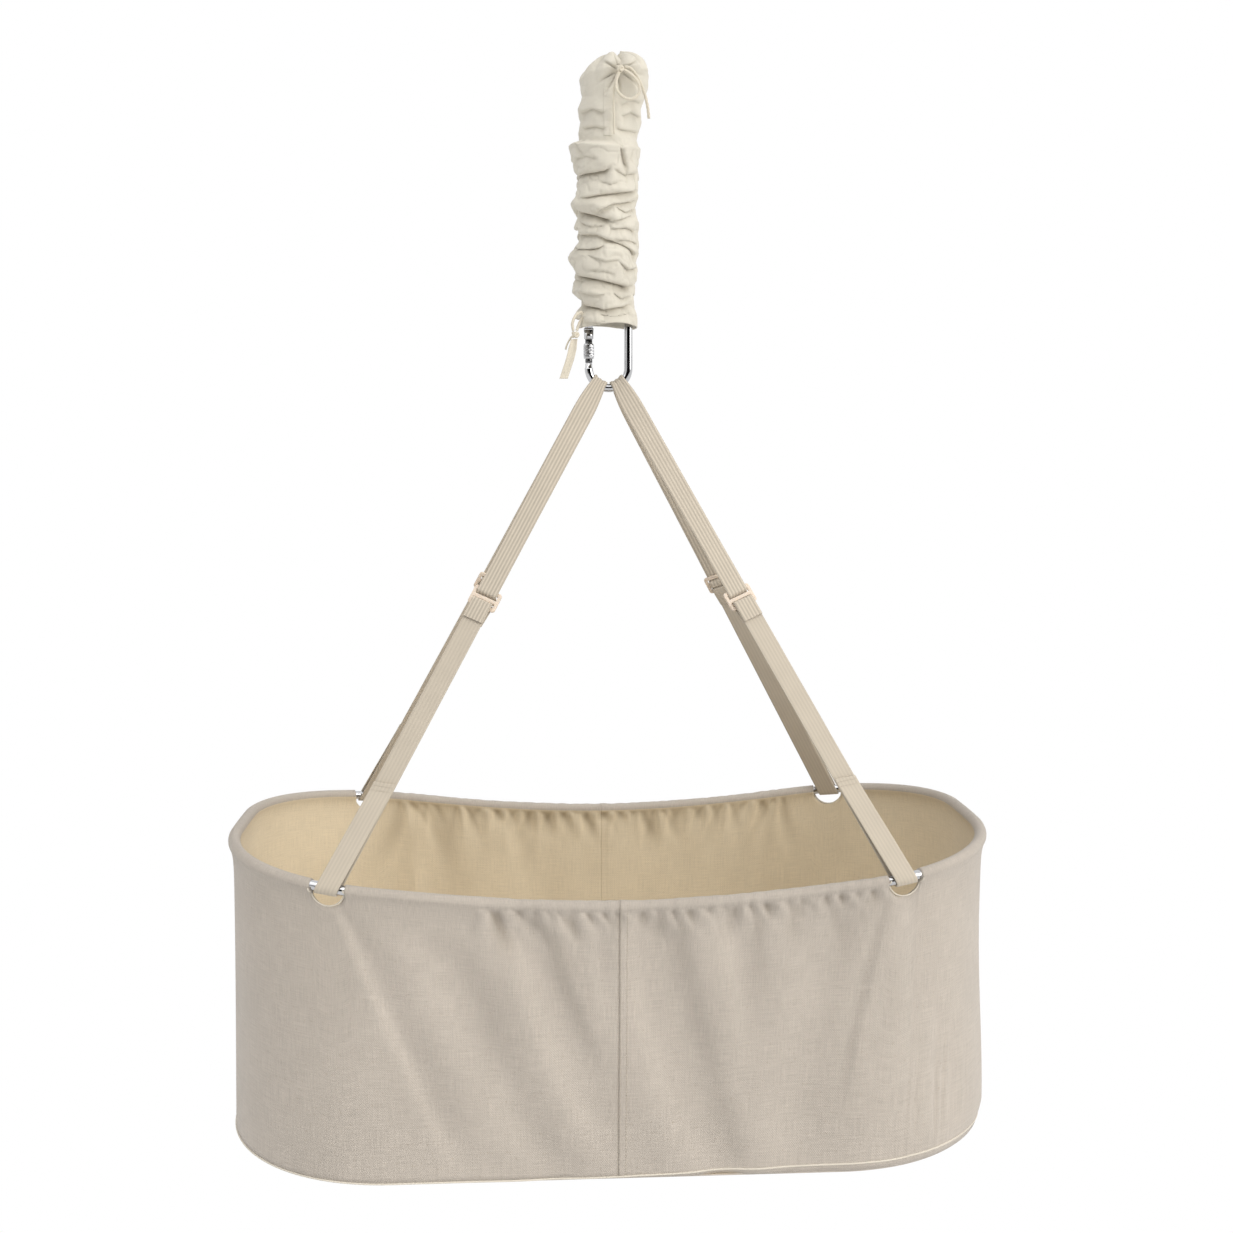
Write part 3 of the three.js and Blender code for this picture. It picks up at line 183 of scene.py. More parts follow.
class Graph:
    """Adds nodes to one node tree and joins them."""

    def __init__(self, tree):
        self.tree = tree
        tree.nodes.clear()

    def add(self, kind, inputs=None, **settings):
        node = self.tree.nodes.new(kind)
        for key, value in settings.items():
            setattr(node, key, value)
        for key, value in (inputs or {}).items():
            if isinstance(value, bpy.types.NodeSocket):
                self.tree.links.new(value, node.inputs[key])
            else:
                node.inputs[key].default_value = value
        return node

    def group(self, name, inputs):
        tree = bpy.data.node_groups[name]
        return self.add("ShaderNodeGroup", inputs, node_tree=tree).outputs

    def link(self, ends, values):
        for name, value in values.items():
            self.tree.links.new(value, ends[name])

    def cloth_place(self):
        """Place on the piece's own UV map, which is in metres."""
        return self.add("ShaderNodeUVMap", uv_map="UVMap").outputs[0]

    def object_place(self):
        return self.add("ShaderNodeTexCoord").outputs["Object"]

    def maths(self, operation, first, second=0.0, third=0.0):
        inputs = {0: first, 1: second, 2: third}
        return self.add("ShaderNodeMath", inputs, operation=operation).outputs[0]

    def mix(self, share, first, second):
        node = self.add("ShaderNodeMix", {0: share, 6: first, 7: second}, data_type="RGBA")
        return node.outputs[2]

    def ramp(self, value, low, high):
        inputs = {0: value, 1: low, 2: high, 3: 0.0, 4: 1.0}
        return self.add("ShaderNodeMapRange", inputs).outputs[0]

    def noise(self, vector, scale, detail=3.0, roughness=0.5):
        inputs = {"Vector": vector, "Scale": scale, "Detail": detail, "Roughness": roughness}
        return self.add("ShaderNodeTexNoise", inputs).outputs[0]

    def stretched(self, vector, scale):
        inputs = {0: vector, 1: scale}
        return self.add("ShaderNodeVectorMath", inputs, operation="MULTIPLY").outputs[0]


def new_group(name, inputs, outputs):
    """A node group with named sockets, and its graph with the outer ends."""
    tree = bpy.data.node_groups.new(name, "ShaderNodeTree")
    graph = Graph(tree)
    for socket, kind, default in inputs:
        made = tree.interface.new_socket(socket, in_out="INPUT", socket_type=kind)
        if default is not None:
            made.default_value = default
    for socket, kind in outputs:
        tree.interface.new_socket(socket, in_out="OUTPUT", socket_type=kind)
    ends = graph.add("NodeGroupInput"), graph.add("NodeGroupOutput")
    return graph, ends[0].outputs, ends[1].inputs


FLOAT, COLOUR, VECTOR = "NodeSocketFloat", "NodeSocketColor", "NodeSocketVector"


def weave_group():
    """Plain weave with thick and thin yarns, flecks and soft colour drift; places in metres."""
    graph, given, out = new_group(
        "plain_weave",
        [
            ("Place", VECTOR, None),
            ("Pitch", FLOAT, 0.0012),
            ("Light", COLOUR, (1, 1, 1, 1)),
            ("Dark", COLOUR, (0.5, 0.5, 0.5, 1)),
            ("Fleck", COLOUR, (0.3, 0.25, 0.2, 1)),
            ("Fleck amount", FLOAT, 0.3),
        ],
        [("Color", COLOUR), ("Height", FLOAT), ("Roughness", FLOAT)],
    )
    place = given["Place"]
    parts = graph.add("ShaderNodeSeparateXYZ", {0: place}).outputs
    waves = []
    for axis in (0, 1):
        turns = graph.maths("DIVIDE", parts[axis], given["Pitch"])
        waves.append(graph.maths("SINE", graph.maths("MULTIPLY", turns, math.pi)))
    knots = graph.maths("MULTIPLY", waves[0], waves[1])
    across, along = 1000, 38
    warp = graph.noise(graph.stretched(place, (across, along, 1)), 1.0, 2.0)
    weft = graph.noise(graph.stretched(place, (along, across, 1)), 1.0, 2.0)
    yarns = graph.maths("MULTIPLY", graph.maths("ADD", warp, weft), 0.5)
    drift = graph.noise(place, 9.0, 2.0)
    shade = graph.ramp(yarns, 0.34, 0.66)
    shade = graph.maths("MULTIPLY_ADD", graph.ramp(drift, 0.3, 0.7), 0.35, shade)
    shade = graph.maths("MULTIPLY", shade, 0.74)
    cloth = graph.mix(shade, given["Dark"], given["Light"])
    speck = graph.noise(graph.stretched(place, (390, 360, 1)), 1.0, 2.0)
    speck = graph.maths("MULTIPLY", graph.ramp(speck, 0.60, 0.78), given["Fleck amount"])
    height = graph.maths("MULTIPLY_ADD", yarns, 1.4, graph.maths("MULTIPLY", knots, 0.5))
    graph.link(out, {
        "Color": graph.mix(speck, cloth, given["Fleck"]),
        "Height": height,
        "Roughness": graph.maths("MULTIPLY_ADD", yarns, 0.12, 0.82),
    })


def wear_group():
    """Masks in object space for handling: fine scratches, and broad dull patches."""
    graph, given, out = new_group(
        "handling_wear",
        [("Place", VECTOR, None), ("Scale", FLOAT, 60.0)],
        [("Scratches", FLOAT), ("Patches", FLOAT)],
    )
    fine = graph.add(
        "ShaderNodeVectorMath", {0: given["Place"], 3: given["Scale"]}, operation="SCALE"
    ).outputs[0]
    lines = graph.noise(graph.stretched(fine, (1, 1, 14)), 4.0, 4.0, 0.7)
    broad = graph.noise(fine, 0.6, 3.0)
    graph.link(out, {
        "Scratches": graph.ramp(lines, 0.56, 0.74),
        "Patches": graph.ramp(broad, 0.4, 0.68),
    })


def new_material(name):
    material = bpy.data.materials.new(name)
    material.use_nodes = True
    return material, Graph(material.node_tree)


def finish_material(graph, shader_inputs, height=None, distance=0.0002, strength=0.6):
    """The shader with its bump, joined to the output."""
    if height is not None:
        inputs = {"Height": height, "Distance": distance, "Strength": strength}
        shader_inputs["Normal"] = graph.add("ShaderNodeBump", inputs).outputs[0]
    shader = graph.add("ShaderNodeBsdfPrincipled", shader_inputs)
    graph.add("ShaderNodeOutputMaterial", {0: shader.outputs[0]})


def rgba(colour):
    return (colour[0], colour[1], colour[2], 1.0)


def darker(colour, share):
    return (colour[0] * share, colour[1] * share, colour[2] * share, 1.0)


def cloth_material(name, colour, pitch, fleck=0.3, contrast=0.86, bump=0.00025, sheen=0.25):
    """Woven cotton or canvas, with painted shade where the cloth lies in a crease."""
    graph = new_material(name)[1]
    place = graph.cloth_place()
    woven = graph.group("plain_weave", {
        "Place": place,
        "Pitch": pitch,
        "Light": rgba(colour),
        "Dark": darker(colour, contrast),
        "Fleck": darker((colour[0], colour[1] * 0.86, colour[2] * 0.66), 0.55),
        "Fleck amount": fleck,
    })
    # Painted shade: the crease attribute mixes the cloth towards a darker, warmer colour in its
    # creases
    crease_shade = graph.add("ShaderNodeAttribute", attribute_name="crease_shade").outputs["Fac"]
    shaded = darker((colour[0], colour[1] * 0.92, colour[2] * 0.8), 0.42)
    tint = graph.mix(crease_shade, woven["Color"], shaded)
    finish_material(graph, {
        "Base Color": tint,
        "Roughness": woven["Roughness"],
        "Sheen Weight": sheen,
        "Sheen Roughness": 0.5,
        "Specular IOR Level": 0.2,
    }, woven["Height"], bump)


RIB_PITCH, WEFT_PITCH = 3.4 * MM, 1.7 * MM


def webbing_material(name, colour, ribbing):
    """Ribbed cotton webbing: cords along the strap, crossed by fine weft, with painted shade
    between the cords.
    """
    graph = new_material(name)[1]
    place = graph.cloth_place()
    parts = graph.add("ShaderNodeSeparateXYZ", {0: place}).outputs
    ribs = graph.maths("SINE", graph.maths("MULTIPLY", parts[0], TAU / RIB_PITCH))
    twill = graph.maths("ADD", graph.maths("MULTIPLY", parts[1], TAU / WEFT_PITCH), ribs)
    twill = graph.maths("SINE", twill)
    slub = graph.noise(graph.stretched(place, (500, 90, 1)), 1.0, 2.0)
    height = graph.maths("MULTIPLY_ADD", ribs, ribbing, graph.maths("MULTIPLY", twill, 0.04))
    height = graph.maths("MULTIPLY_ADD", slub, 0.1, height)
    # The colour follows the height: painted shade in the grooves between the cords, with uneven
    # slubs and a random drift of tone over it
    shade = graph.ramp(height, -0.7, 0.8)
    drift = graph.noise(place, 30.0, 2.0)
    shade = graph.maths("MULTIPLY_ADD", drift, 0.3, graph.maths("MULTIPLY", shade, 0.8))
    tint = graph.mix(shade, darker(colour, 0.66), rgba(colour))
    finish_material(graph, {
        "Base Color": tint,
        "Roughness": 0.86,
        "Sheen Weight": 0.2,
        "Sheen Roughness": 0.5,
        "Specular IOR Level": 0.2,
    }, height, 0.00012)


def steel_material(name, colour, roughness, scale=60.0):
    """Polished steel with hairline scratches and slightly dulled patches."""
    graph = new_material(name)[1]
    place = graph.object_place()
    wear = graph.group("handling_wear", {"Place": place, "Scale": scale})
    rough = graph.maths("MULTIPLY_ADD", wear["Scratches"], 0.16, roughness)
    rough = graph.maths("MULTIPLY_ADD", wear["Patches"], 0.07, rough)
    tint = graph.mix(wear["Patches"], rgba(colour), darker(colour, 0.86))
    finish_material(graph, {
        "Base Color": tint,
        "Metallic": 1.0,
        "Roughness": rough,
    }, wear["Scratches"], 0.00002, 0.3)


def plastic_material(name, colour):
    """Moulded plastic with a fine spark texture and rubbed patches."""
    graph = new_material(name)[1]
    place = graph.object_place()
    wear = graph.group("handling_wear", {"Place": place, "Scale": 90.0})
    grain = graph.noise(place, 2600.0, 2.0)
    tint = graph.mix(wear["Patches"], rgba(colour), darker(colour, 0.93))
    finish_material(graph, {
        "Base Color": tint,
        "Roughness": graph.maths("MULTIPLY_ADD", wear["Patches"], -0.1, 0.46),
        "Subsurface Weight": 0.08,
        "Subsurface Radius": (0.004, 0.003, 0.002),
        "Subsurface Scale": 1.0,
        "Coat Weight": 0.1,
        "Coat Roughness": 0.3,
    }, grain, 0.00004, 0.4)


def wood_material(name, colour):
    """Birch board: long grain with darker lines."""
    graph = new_material(name)[1]
    place = graph.object_place()
    grain = graph.noise(graph.stretched(place, (4, 90, 90)), 1.0, 5.0, 0.6)
    lines = graph.noise(graph.stretched(place, (14, 700, 700)), 1.0, 3.0)
    shade = graph.ramp(grain, 0.35, 0.7)
    tint = graph.mix(shade, rgba(colour), darker(colour, 0.78))
    finish_material(graph, {
        "Base Color": tint,
        "Roughness": graph.maths("MULTIPLY_ADD", lines, 0.2, 0.5),
    }, lines, 0.0001, 0.4)


def build_materials(look):
    weave_group()
    wear_group()
    canvas, lit_inner_side = look.canvas_colour, look.inner_lit_colour
    cloth_material("outer_canvas", canvas, look.canvas_pitch, 0.42, 0.72, 0.0004)
    # The inner side is a lighter, yellower copy of the same canvas: painted bounce light inside
    # the basket
    cloth_material("inner_canvas_lit", lit_inner_side, look.canvas_pitch, 0.3, 0.80, 0.0004)
    cloth_material("hem_canvas", look.hem_colour, look.canvas_pitch, 0.15, 0.92, 0.0003)
    cloth_material("ruched_cotton", look.sleeve_colour, 0.0009, 0.06, 0.94, 0.00018)
    cloth_material("twisted_cotton", look.tie_colour, 0.0008, 0.1, 0.84, 0.0002)
    cloth_material("quilted_cotton", look.mattress_colour, 0.0009, 0.03, 0.95, 0.0002)
    cloth_material("sewing_thread", look.thread_colour, 0.0005, 0.0, 0.9, 0.0001)
    webbing_material("strap_webbing", look.webbing_colour, 0.75)
    webbing_material("leg_webbing", look.webbing_colour, 0.22)
    steel_material("bright_steel", look.steel_colour, look.steel_roughness)
    steel_material("coil_steel", darker(look.steel_colour, 0.8), 0.3, 90.0)
    steel_material("gate_steel", darker(look.steel_colour, 0.22), 0.18, 90.0)
    plastic_material("moulded_plastic", look.slider_colour)
    wood_material("birch_plywood", look.board_colour)


# Meshes


def shaped_grid(columns, rows, shape, span=(1.0, 1.0)):
    """A grid whose points go where shape(u, v) puts them; span is its cloth size in metres.
    A fourth column of shape's result is how strong the painted shade of a crease is at the point,
    from 0 to 1."""
    bm = bmesh.new()
    layer = bm.loops.layers.uv.new("UVMap")
    bmesh.ops.create_grid(bm, x_segments=columns, y_segments=rows, size=0.5, calc_uvs=True)
    flat = np.array([vert.co[:2] for vert in bm.verts]) + 0.5
    for face in bm.faces:
        for loop in face.loops:
            x, y, _ = loop.vert.co
            loop[layer].uv = ((x + 0.5) * span[0], (y + 0.5) * span[1])
    places = shape(flat[:, 0], flat[:, 1])
    if places.shape[1] == 4:
        # Strength of the painted crease shade, kept on each point
        crease_shade = bm.verts.layers.float.new("crease_shade")
        for vert, place in zip(bm.verts, places):
            vert[crease_shade] = place[3]
    for vert, place in zip(bm.verts, places):
        vert.co = place[:3]
    return bm


def face_outwards(bm, centre=None):
    """Closed shells are recalculated; an open sheet is turned to face away from centre."""
    if centre is None:
        bmesh.ops.recalc_face_normals(bm, faces=bm.faces[:])
        return
    bm.normal_update()
    total = sum(
        face.normal.dot(face.calc_center_median() - centre) * face.calc_area()
        for face in bm.faces
    )
    if total < 0:
        bmesh.ops.reverse_faces(bm, faces=bm.faces[:])


def merge_points(bm, distance=1e-6):
    bmesh.ops.remove_doubles(bm, verts=bm.verts[:], dist=distance)


def open_edges(bm):
    return [edge for edge in bm.edges if edge.is_boundary]


def fill_holes(bm, sides=0):
    """Closes holes of up to that many sides, or all of them."""
    bmesh.ops.holes_fill(bm, edges=open_edges(bm), sides=sides)


def split_large_faces(bm):
    bmesh.ops.triangulate(bm, faces=[face for face in bm.faces if len(face.verts) > 4])


def make_piece(name, bm, materials, body, replaces=()):
    """A smooth-shaded object from a bmesh, riding on a body of the frame."""
    mesh = bpy.data.meshes.new(name)
    bm.to_mesh(mesh)
    bm.free()
    for material in materials:
        mesh.materials.append(bpy.data.materials[material])
    mesh.shade_smooth()
    piece = bpy.data.objects.new(name, mesh)
    bpy.context.scene.collection.objects.link(piece)
    if body:
        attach(piece, body)
    if replaces:
        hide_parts(*replaces)
    return piece


def thicken(piece, thickness, inner_material=0):
    """Gives a sheet its thickness on the inner side."""
    solid = piece.modifiers.new("thickness", "SOLIDIFY")
    solid.thickness = thickness
    solid.offset = -1
    solid.use_rim = True
    solid.material_offset = inner_material


def curve_points(points, count):
    """A smooth route of that many even points through the given points."""
    knots = np.array(points, float)
    ends = np.vstack([2 * knots[0] - knots[1], knots, 2 * knots[-1] - knots[-2]])
    fine = []
    for i in range(len(knots) - 1):
        a, b, c, d = ends[i:i + 4]
        for share in np.linspace(0, 1, 24, endpoint=False):
            s2, s3 = share ** 2, share ** 3
            fine.append(0.5 * (2 * b + (c - a) * share + (2 * a - 5 * b + 4 * c - d) * s2
                               + (3 * b - a - 3 * c + d) * s3))
    fine = np.array(fine + [knots[-1]])
    lengths = run_lengths(fine)
    return resampled(fine, lengths, np.linspace(0, lengths[-1], count))


def path_frames(path, closed=False):
    """Side and up directions at each point of a path, without needless twist."""
    if closed:
        along = np.roll(path, -1, 0) - np.roll(path, 1, 0)
    else:
        along = np.gradient(path, axis=0)
    along /= np.linalg.norm(along, axis=1)[:, None]
    side = np.cross(along[0], (0, 0, 1))
    if np.linalg.norm(side) < 1e-3:
        side = np.cross(along[0], (0, 1, 0))
    sides = []
    for direction in along:
        side = side - direction * (side @ direction)
        side = side / np.linalg.norm(side)
        sides.append(side)
    sides = np.array(sides)
    return sides, np.cross(sides, along)


def path_length(path):
    return float(np.linalg.norm(np.diff(path, axis=0), axis=1).sum())


def tube(path, radius, sides=12, closed=False, strands=0, twist=0.0):
    """A tube along a path; with strands its section has that many lobes, which twist."""
    path = np.array(path, float)
    side, up = path_frames(path, closed)
    if closed:
        path, side, up = (np.vstack([a, a[:1]]) for a in (path, side, up))
    length = path_length(path)
    places = np.linspace(0, 1, len(path))

    def shape(u, v):
        row, angle = nearest(v, len(path)), u * TAU
        reach = np.full_like(u, radius)
        if strands:
            turned = angle * strands - twist * places[row] * length
            reach *= 0.84 + 0.16 * np.abs(np.cos(turned / 2))
        reach = reach[:, None]
        return (path[row] + side[row] * reach * np.cos(angle)[:, None]
                + up[row] * reach * np.sin(angle)[:, None])

    bm = shaped_grid(sides, len(path) - 1, shape, (TAU * radius, length))
    merge_points(bm)
    if not closed:
        fill_holes(bm, sides + 1)
    face_outwards(bm)
    return bm


def lathe(profile, steps=40, axis=(0, 0, 1), centre=(0, 0, 0), start=(1, 0, 0), closed=False):
    """A body turned from (radius, height) points about an axis through centre."""
    bm = bmesh.new()
    axis, start, centre = Vector(axis), Vector(start), Vector(centre)
    verts = [bm.verts.new(centre + start * r + axis * h) for r, h in profile]
    following = verts[1:] + (verts[:1] if closed else [])
    edges = [bm.edges.new(pair) for pair in zip(verts, following)]
    bmesh.ops.spin(bm, geom=verts + edges, cent=centre, axis=axis, angle=TAU, steps=steps,
                   use_merge=True)
    merge_points(bm)
    face_outwards(bm)
    return bm


def ring(centre, axis, ring_radius, wire_radius, steps=72, sides=20):
    """A closed round ring of wire."""
    turns = [TAU * i / sides for i in range(sides)]
    profile = [(ring_radius + wire_radius * math.cos(turn), wire_radius * math.sin(turn))
               for turn in turns]
    start = Vector(axis).orthogonal().normalized()
    return lathe(profile, steps, axis, centre, start, closed=True)


def joined(*parts):
    """One bmesh of several."""
    whole = parts[0]
    for part in parts[1:]:
        mesh = bpy.data.meshes.new("part")
        part.to_mesh(mesh)
        part.free()
        whole.from_mesh(mesh)
        bpy.data.meshes.remove(mesh)
    return whole


def mirrored(bm, sign_x, sign_y):
    """Mirrors a bmesh in X or Y and keeps its faces pointing out."""
    bmesh.ops.scale(bm, vec=(sign_x, sign_y, 1), verts=bm.verts[:])
    if sign_x * sign_y < 0:
        bmesh.ops.reverse_faces(bm, faces=bm.faces[:])
    return bm


def stitches(routes, pitch, radius, lift=0.5):
    """Short raised threads along routes, each given as points and outward normals."""
    whole = bmesh.new()
    whole.loops.layers.uv.new("UVMap")
    for points, normals in routes:
        lengths = run_lengths(points)
        count = max(int(lengths[-1] / pitch), 1)
        for i in range(count):
            ends = [(i + share) / count * lengths[-1] for share in (0.14, 0.86)]
            a, b = (Vector(place) for place in resampled(points, lengths, ends))
            up = Vector(resampled(normals, lengths, ends)[0]).normalized()
            along = (b - a).normalized()
            turn = Matrix((along, up.cross(along), up)).transposed()
            place = Matrix.Translation((a + b) / 2 + up * radius * lift) @ turn.to_4x4()
            size = Matrix.Diagonal(((b - a).length / 2, radius, radius * 0.8, 1))
            bmesh.ops.create_icosphere(whole, subdivisions=1, radius=1, matrix=place @ size)
    return whole


# Basket


def plan_shares(step):
    """How far steps lie along a side, round its corner and along the end, from 0 to 1."""
    s = np.where(step > QUARTER, 2 * QUARTER - step, step)
    return (np.clip(s / SIDE_STEPS, 0, 1), np.clip((s - SIDE_STEPS) / CORNER_STEPS, 0, 1),
            np.clip((s - SIDE_STEPS - CORNER_STEPS) / END_STEPS, 0, 1))


def plan(step, half_length, half_width, corner):
    """Points and outward normals of a rounded rectangle, from the front middle by the left end
    to the back middle."""
    step = np.asarray(step, float)
    on_side, in_corner, on_end = plan_shares(step)
    straight, end = half_length - corner, half_width - corner
    turn = in_corner * math.pi / 2
    from_corner_end = np.minimum(turn, math.pi / 2 - turn)
    reach = corner * (1 - (1 - SPAN_SHARE) * np.clip(from_corner_end * 6, 0, 1))
    nx, ny = -np.sin(turn), -np.cos(turn)
    x = -straight * on_side + reach * nx
    y = -end + reach * ny + end * on_end
    flip = np.where(step > QUARTER, -1.0, 1.0)
    zero = np.zeros_like(x)
    return np.stack([x, y * flip, zero], 1), np.stack([nx, ny * flip, zero], 1)


NOTCH_POINT, NOTCH_NORMAL = plan([NOTCH_STEP], RIM_HALF_LENGTH, RIM_HALF_WIDTH, RIM_ARC)
NOTCH_X, NOTCH_Y = -NOTCH_POINT[0][0], -NOTCH_POINT[0][1]


def rim_points(step):
    """The rod's centre line: it sags in the middle of the sides and lifts at the ends."""
    points, normals = plan(step, RIM_HALF_LENGTH, RIM_HALF_WIDTH, RIM_ARC)
    on_side, in_corner, on_end = plan_shares(step)
    way = (RIM_STRAIGHT * on_side + RIM_ARC * math.pi / 2 * in_corner
           + (RIM_HALF_WIDTH - RIM_ARC) * on_end)
    rise = math.cos(NOTCH_PHASE) - np.cos(math.pi * way / RIM_QUARTER)
    points[:, 2] = RIM_HEIGHT + RIM_SWEEP * rise
    return points, normals


FINE_STEPS = np.linspace(0, 2 * QUARTER, 4001)
FINE_LENGTHS = run_lengths(rim_points(FINE_STEPS)[0])
HALF_ROUND = float(FINE_LENGTHS[-1])
NOTCHES = [float(np.interp(s, FINE_STEPS, FINE_LENGTHS))
           for s in (NOTCH_STEP, 2 * QUARTER - NOTCH_STEP)]


def step_at(length):
    return np.interp(length, FINE_LENGTHS, FINE_STEPS)


# Slopes of the front canvas: distance from the middle to the right at the hem, half way down
# and at the base, half width, rise to the left in all, then where it starts and ends, as
# shares of the height
FRONT_SLOPES = [
    (-0.313, -0.250, -0.181, 0.008, 4.6, 0.03, 0.97),
    (-0.284, -0.218, -0.146, 0.022, -5.0, 0.10, 1.00),
    (-0.236, -0.173, -0.072, 0.020, 4.5, 0.12, 1.05),
    (-0.194, -0.125, -0.050, 0.020, -5.5, 0.10, 1.05),
    (-0.125, -0.074, 0.003, 0.015, 8.0, 0.00, 0.95),
    (-0.093, -0.029, 0.034, 0.012, -7.0, 0.00, 0.62),
    (-0.032, -0.016, 0.000, 0.007, 2.6, 0.00, 0.42),
    (0.011, 0.037, 0.114, 0.015, 7.0, 0.00, 1.05),
    (0.058, 0.101, 0.154, 0.015, -9.0, 0.00, 1.05),
    (0.109, 0.143, 0.178, 0.012, 6.5, 0.00, 0.62),
    (0.148, 0.167, 0.185, 0.012, -3.5, 0.02, 0.40),
    (0.212, 0.196, 0.183, 0.024, 5.5, 0.02, 1.05),
    (0.263, 0.244, 0.223, 0.018, -5.0, 0.05, 1.00),
    (0.303, 0.271, 0.258, 0.006, -4.2, 0.04, 0.80),
    (0.318, 0.327, 0.322, 0.014, 5.6, 0.02, 0.95),
    (0.366, 0.364, 0.361, 0.008, 3.4, 0.45, 0.98),
]

# The same for the back as it is seen from inside, from the middle to the right
BACK_SLOPES = [
    (-0.262, -0.246, -0.230, 0.012, 5.0, 0.00, 0.90),
    (-0.205, -0.200, -0.190, 0.020, -4.0, 0.00, 1.00),
    (-0.120, -0.110, -0.100, 0.016, 4.0, 0.00, 1.00),
    (-0.050, -0.060, -0.070, 0.018, -3.5, 0.00, 0.90),
    (0.040, 0.046, 0.056, 0.014, 3.6, 0.00, 1.00),
    (0.130, 0.126, 0.120, 0.020, -4.0, 0.00, 1.00),
    (0.215, 0.222, 0.230, 0.016, 4.4, 0.00, 0.95),
    (0.335, 0.340, 0.350, 0.030, -3.4, 0.00, 1.00),
    (-0.340, -0.345, -0.350, 0.028, 3.4, 0.00, 1.00),
]

# Gathers under the hem: distance from the middle to the right and the length of each
FRONT_GATHERS = [
    (-0.146, 30), (-0.133, 24), (-0.112, 18), (-0.096, 36), (-0.082, 30), (-0.068, 20),
    (-0.056, 34), (-0.040, 26), (-0.019, 20), (-0.009, 16), (0.024, 22), (0.039, 30),
    (0.058, 26), (0.074, 22), (0.096, 28), (0.113, 18), (0.127, 20), (0.141, 28), (0.159, 22),
    (0.183, 26), (0.196, 18), (0.223, 30), (0.242, 20), (0.263, 24), (0.279, 18),
]
BACK_GATHERS = [
    (-0.268, 40), (-0.250, 60), (-0.236, 34), (-0.190, 30), (-0.158, 26), (-0.131, 44),
    (-0.110, 26), (-0.088, 34), (-0.060, 50), (-0.042, 28), (-0.026, 36), (-0.008, 24),
    (0.018, 30), (0.036, 44), (0.051, 26), (0.078, 38), (0.094, 24), (0.120, 30),
    (0.148, 24), (0.176, 36), (0.210, 24), (0.232, 44), (0.247, 30),
]


def slopes_at(across, depth, slopes):
    """Soft folds, each a local slope that runs down the wall."""
    share = depth / DEPTH
    out = np.zeros_like(across)
    for hem, half, base, width, rise, start, end in slopes:
        curve = base - 2 * half + hem
        middle = hem + (4 * half - base - 3 * hem) * share + 2 * curve * share * share
        away = (across - middle) / (width * (0.75 + 0.5 * share))
        shown = smoothstep(start - 0.02, start + 0.1, share) * smoothstep(end, end - 0.25, share)
        out -= rise * 0.5 * MM * np.tanh(away) * np.exp(-((away / 3.2) ** 2)) * shown
    return out


def gathers_at(across, depth, gathers, lean, seed):
    """Short sharp pleats that start under the hem."""
    rng = random.Random(seed)
    out = np.zeros_like(across)
    for place, length in gathers:
        width = rng.uniform(2.2, 3.8) * MM
        deep = rng.uniform(1.8, 3.2) * MM
        slant = lean + rng.uniform(-0.16, 0.16)
        middle = place + rng.uniform(-2, 2) * MM + slant * depth
        away = np.abs(across - middle) / (width * (1 + depth / 0.016))
        shown = smoothstep(2 * MM, 9 * MM, depth) * np.exp(-((depth / (1.5 * length * MM)) ** 2))
        out -= deep * np.exp(-(away ** 1.4)) * shown
        out += 0.6 * deep * np.exp(-((away - 2.4) ** 2)) * shown
    return out


def gathers_round(length, depth, side):
    """The front's and the back's gathers at distances round the rim."""
    return (gathers_at(length * side, depth, FRONT_GATHERS, 0.35, 5),
            gathers_at((HALF_ROUND - length) * side, depth, BACK_GATHERS, 0.0, 11))


def tucks_at(length, depth, side):
    """How deep in a tuck under the hem a point lies, about 1 at the deepest."""
    return -sum(gathers_round(length, depth, side)) / (5.5 * MM)


def relief_of(length, depth, side):
    """How far the cloth stands out at a distance round the rim and a depth under the rod."""
    share = np.clip(depth / DEPTH, 0, 1)
    out = (slopes_at(length * side, depth, FRONT_SLOPES)
           - slopes_at((HALF_ROUND - length) * side, depth, BACK_SLOPES))
    for gathers in gathers_round(length, depth, side):
        out += gathers
    if side > 0:
        # Fine ripples low down by the front right corner, and the raised laps of both seams
        ripples = np.sin(length / 0.0088 * math.pi + 2.2 * np.sin(length * 143 + depth * 9))
        low = np.exp(-((share - 0.8) / 0.16) ** 2) * np.exp(-((length - 0.37) / 0.04) ** 2)
        out += 0.8 * MM * ripples * low
        for away in (length, HALF_ROUND - length):
            out += 0.45 * MM * smoothstep(9.6 * MM, 8.8 * MM, away)
    return out + 0.9 * MM * np.sin(length * 19 + depth * 7) * np.sin(share * math.pi)


# The hem turns on a radius round the rod and meets the wall a little under the rod's centre
HEM_REACH = 6.9 * MM
HEM_DROP = 2.6 * MM
HEM_TURN = math.asin(HEM_DROP / HEM_REACH)
NOTCH_GAP = math.sqrt(NOTCH_RADIUS ** 2 - HEM_REACH ** 2)
LAP = 0.04 * MM

# Rows of the wall's mesh, which lie closer together towards the hem
WALL_ROWS, HEM_ROWS, LINING_ROWS = 58, 16, 48
ALL_ROWS = WALL_ROWS + HEM_ROWS + LINING_ROWS
WALL_COLUMNS = 620
ROW_SPREAD = 1.35


